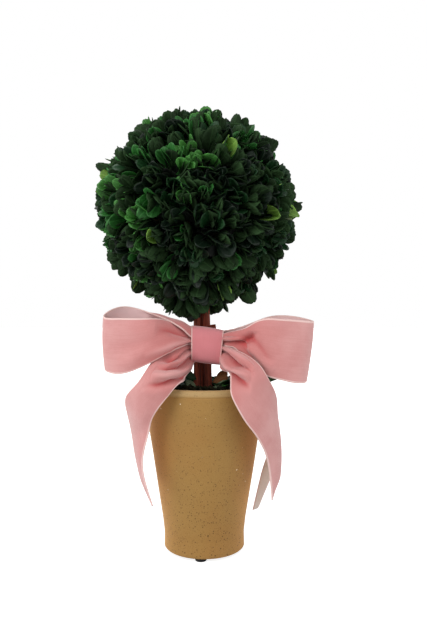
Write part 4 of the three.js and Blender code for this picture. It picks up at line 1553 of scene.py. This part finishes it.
def build_knot(settings):
    width, depth, height = KNOT_SIZE

    def at(angle, across):
        swell = 1 + 0.03 * (1 - across**2)
        y = squared(math.cos(angle)) * depth / 2 * swell
        z = squared(math.sin(angle)) * height / 2 * swell
        x = across * width / 2 + KNOT_FLARE * z * (1 + across)
        soft = 0.35 * noise.noise(Vector((x * 0.13, y * 0.1, z * 0.16)))
        y += soft * math.cos(angle)
        return (KNOT_CENTRE[0] + x, KNOT_CENTRE[1] + y, KNOT_CENTRE[2] + z - KNOT_SLOPE * x)

    grid = band_grid(150, at)
    mesh = ribbon_skin("velvet_knot", grid, settings, outer_side(grid), True, pile="Knot pile")
    finished("velvet_knot", mesh, "velvet", "bow_knot")


def build_tie(settings):
    centre, half = centre_and_half("bow_tie")

    def at(angle, across):
        gather = 0.35 * math.sin(across * 9 + 1.5 * math.sin(angle))
        gather += 0.25 * math.sin(across * 17 + 2 * angle)
        radius = half[0] / MM - 0.9 + gather * (1 - across**2) - 0.3 * across**2
        z = across * half[2] / MM * (1.02 + 0.05 * math.sin(2 * angle))
        return (radius * math.cos(angle), radius * math.sin(angle), z)

    grid = band_grid(120, at) + centre
    mesh = ribbon_skin("velvet_tie", grid, settings, outer_side(grid), True)
    finished("velvet_tie", mesh, "velvet", "bow_tie")


# ---------------------------------------------------------------- stage


def pointed(made, where, towards):
    """Moves a lamp or camera, and turns it towards a point."""
    made.location = where
    made.rotation_euler = (Vector(towards) - Vector(where)).to_track_quat("-Z", "Y").to_euler()


def area_light(name, where, towards, size, power):
    data = bpy.data.lights.new(name, "AREA")
    data.shape = "DISK"
    data.size = size
    data.energy = power
    pointed(added(name, data), where, towards)


def soft_world(strength):
    """Even light from all round, which looks pure white behind the object."""
    world = bpy.data.worlds.new("Soft white")
    world.use_nodes = True
    tree = world.node_tree
    tree.nodes.clear()
    soft = output(tree, "ShaderNodeBackground", {"Color": (1, 1, 1, 1), "Strength": strength})
    white = output(tree, "ShaderNodeBackground", {"Color": (1, 1, 1, 1), "Strength": 1.0})
    sides = {0: output(tree, "ShaderNodeLightPath"), 1: soft, 2: white}
    place(tree, "ShaderNodeOutputWorld", {"Surface": output(tree, "ShaderNodeMixShader", sides)})
    return world


FLOOR_SIDES = 96
FLOOR_RINGS = [0.15, 0.4, 1.0, 2.5, 6.0]  # metres


def build_floor():
    around = FLOOR_SIDES
    angles = [2 * math.pi * j / around for j in range(around)]
    corners = [np.zeros(3)] + [ring * facing(angle) for ring in FLOOR_RINGS for angle in angles]
    faces = [[0, 1 + j, 1 + (j + 1) % around] for j in range(around)]
    for first in range(1, len(corners) - around, around):
        for j in range(around):
            a, b = first + j, first + (j + 1) % around
            faces.append([a, a + around, b + around, b])
    added("floor", new_mesh("floor", corners, faces, [stage_material()]))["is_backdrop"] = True


def build_stage(settings):
    scene = bpy.context.scene
    scene.view_settings.view_transform = "Standard"
    data = bpy.data.cameras.new("Camera")
    data.lens = settings.lens
    data.clip_start = 0.01
    scene.camera = added("Camera", data)
    aim = (settings.aside, 0, settings.height - settings.drop)
    pointed(scene.camera, (0, -settings.distance, settings.height), aim)
    low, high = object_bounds()
    middle = (low + high) / 2
    area_light("Key", (-0.55, -0.70, 0.85), middle + Vector((0, 0, 0.03)), 0.6, settings.key_power)
    area_light("Left", (-0.98, -0.50, 0.16), middle, 0.8, settings.side_power)
    area_light("Right", (1.0, -0.50, 0.16), middle, 0.8, settings.side_power)
    area_light("Top", (-0.25, 0.30, 1.0), middle, 0.6, settings.side_power * 0.5)
    scene.world = soft_world(settings.sky)
    build_floor()


# ---------------------------------------------------------------- operators


class TOPIARY_OT_pot(bpy.types.Operator):
    """Turn the speckled clay pot and its rubber feet"""

    bl_idname = "topiary.pot"
    bl_label = "Clay Pot"

    def execute(self, context):
        build_pot(context.scene.topiary.pot)
        build_foot_pads()
        return {"FINISHED"}


class TOPIARY_OT_sticks(bpy.types.Operator):
    """Cover the three sticks of the stem with bark"""

    bl_idname = "topiary.sticks"
    bl_label = "Sticks"

    def execute(self, context):
        settings = context.scene.topiary.stem
        bark = bark_material(settings)
        for name in STICKS:
            build_stick(name, settings, bark)
        build_stub(bark)
        return {"FINISHED"}


class TOPIARY_OT_crown(bpy.types.Operator):
    """Grow the ball's boughs, twigs and leaves from the tops of the sticks"""

    bl_idname = "topiary.crown"
    bl_label = "Leaf Ball"

    def execute(self, context):
        build_crown(context.scene.topiary.crown)
        return {"FINISHED"}


class TOPIARY_OT_filling(bpy.types.Operator):
    """Fill the pot with foam and moss, and lay short sprigs round the sticks"""

    bl_idname = "topiary.filling"
    bl_label = "Moss and Foot Leaves"

    def execute(self, context):
        settings = context.scene.topiary
        build_filling(settings.ground)
        build_foot_leaves(settings.ground, settings.crown)
        return {"FINISHED"}


class TOPIARY_OT_loops(bpy.types.Operator):
    """Shape the two loops of the velvet bow"""

    bl_idname = "topiary.loops"
    bl_label = "Bow Loops"

    def execute(self, context):
        build_loops(context.scene.topiary.bow)
        return {"FINISHED"}


class TOPIARY_OT_tails(bpy.types.Operator):
    """Drape the two tails of the velvet bow over the rim"""

    bl_idname = "topiary.tails"
    bl_label = "Bow Tails"

    def execute(self, context):
        build_tails(context.scene.topiary.bow)
        return {"FINISHED"}


class TOPIARY_OT_knot(bpy.types.Operator):
    """Wrap the bow's knot, and the tie round the sticks behind it"""

    bl_idname = "topiary.knot"
    bl_label = "Bow Knot"

    def execute(self, context):
        build_knot(context.scene.topiary.bow)
        build_tie(context.scene.topiary.bow)
        return {"FINISHED"}


class TOPIARY_OT_stage(bpy.types.Operator):
    """Set up the camera, the soft lights and the pale floor"""

    bl_idname = "topiary.stage"
    bl_label = "Stage"

    def execute(self, context):
        build_stage(context.scene.topiary.stage)
        return {"FINISHED"}


OPERATORS = (
    TOPIARY_OT_stage,
    TOPIARY_OT_pot,
    TOPIARY_OT_sticks,
    TOPIARY_OT_crown,
    TOPIARY_OT_filling,
    TOPIARY_OT_loops,
    TOPIARY_OT_tails,
    TOPIARY_OT_knot,
)


class TOPIARY_PT_panel(bpy.types.Panel):
    """Lists the steps of the topiary and their settings"""

    bl_idname = "TOPIARY_PT_panel"
    bl_label = "Box Topiary Ball"
    bl_space_type = "VIEW_3D"
    bl_region_type = "UI"
    bl_category = "Topiary"

    def draw(self, context):
        for operator in OPERATORS:
            self.layout.operator(operator.bl_idname)
        for part in ("pot", "stem", "crown", "ground", "bow", "stage"):
            settings = getattr(context.scene.topiary, part)
            box = self.layout.box()
            box.label(text=part.capitalize())
            for name in settings.__annotations__:
                box.prop(settings, name)


CLASSES = (
    PotSettings,
    StemSettings,
    CrownSettings,
    GroundSettings,
    BowSettings,
    StageSettings,
    TopiarySettings,
    *OPERATORS,
    TOPIARY_PT_panel,
)


def register():
    for cls in CLASSES:
        bpy.utils.register_class(cls)
    bpy.types.Scene.topiary = bpy.props.PointerProperty(type=TopiarySettings)


def unregister():
    del bpy.types.Scene.topiary
    for cls in reversed(CLASSES):
        bpy.utils.unregister_class(cls)


def main():
    register()
    for operator in OPERATORS:
        group, name = operator.bl_idname.split(".")
        getattr(getattr(bpy.ops, group), name)()
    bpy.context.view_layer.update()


if __name__ == "__main__":
    main()
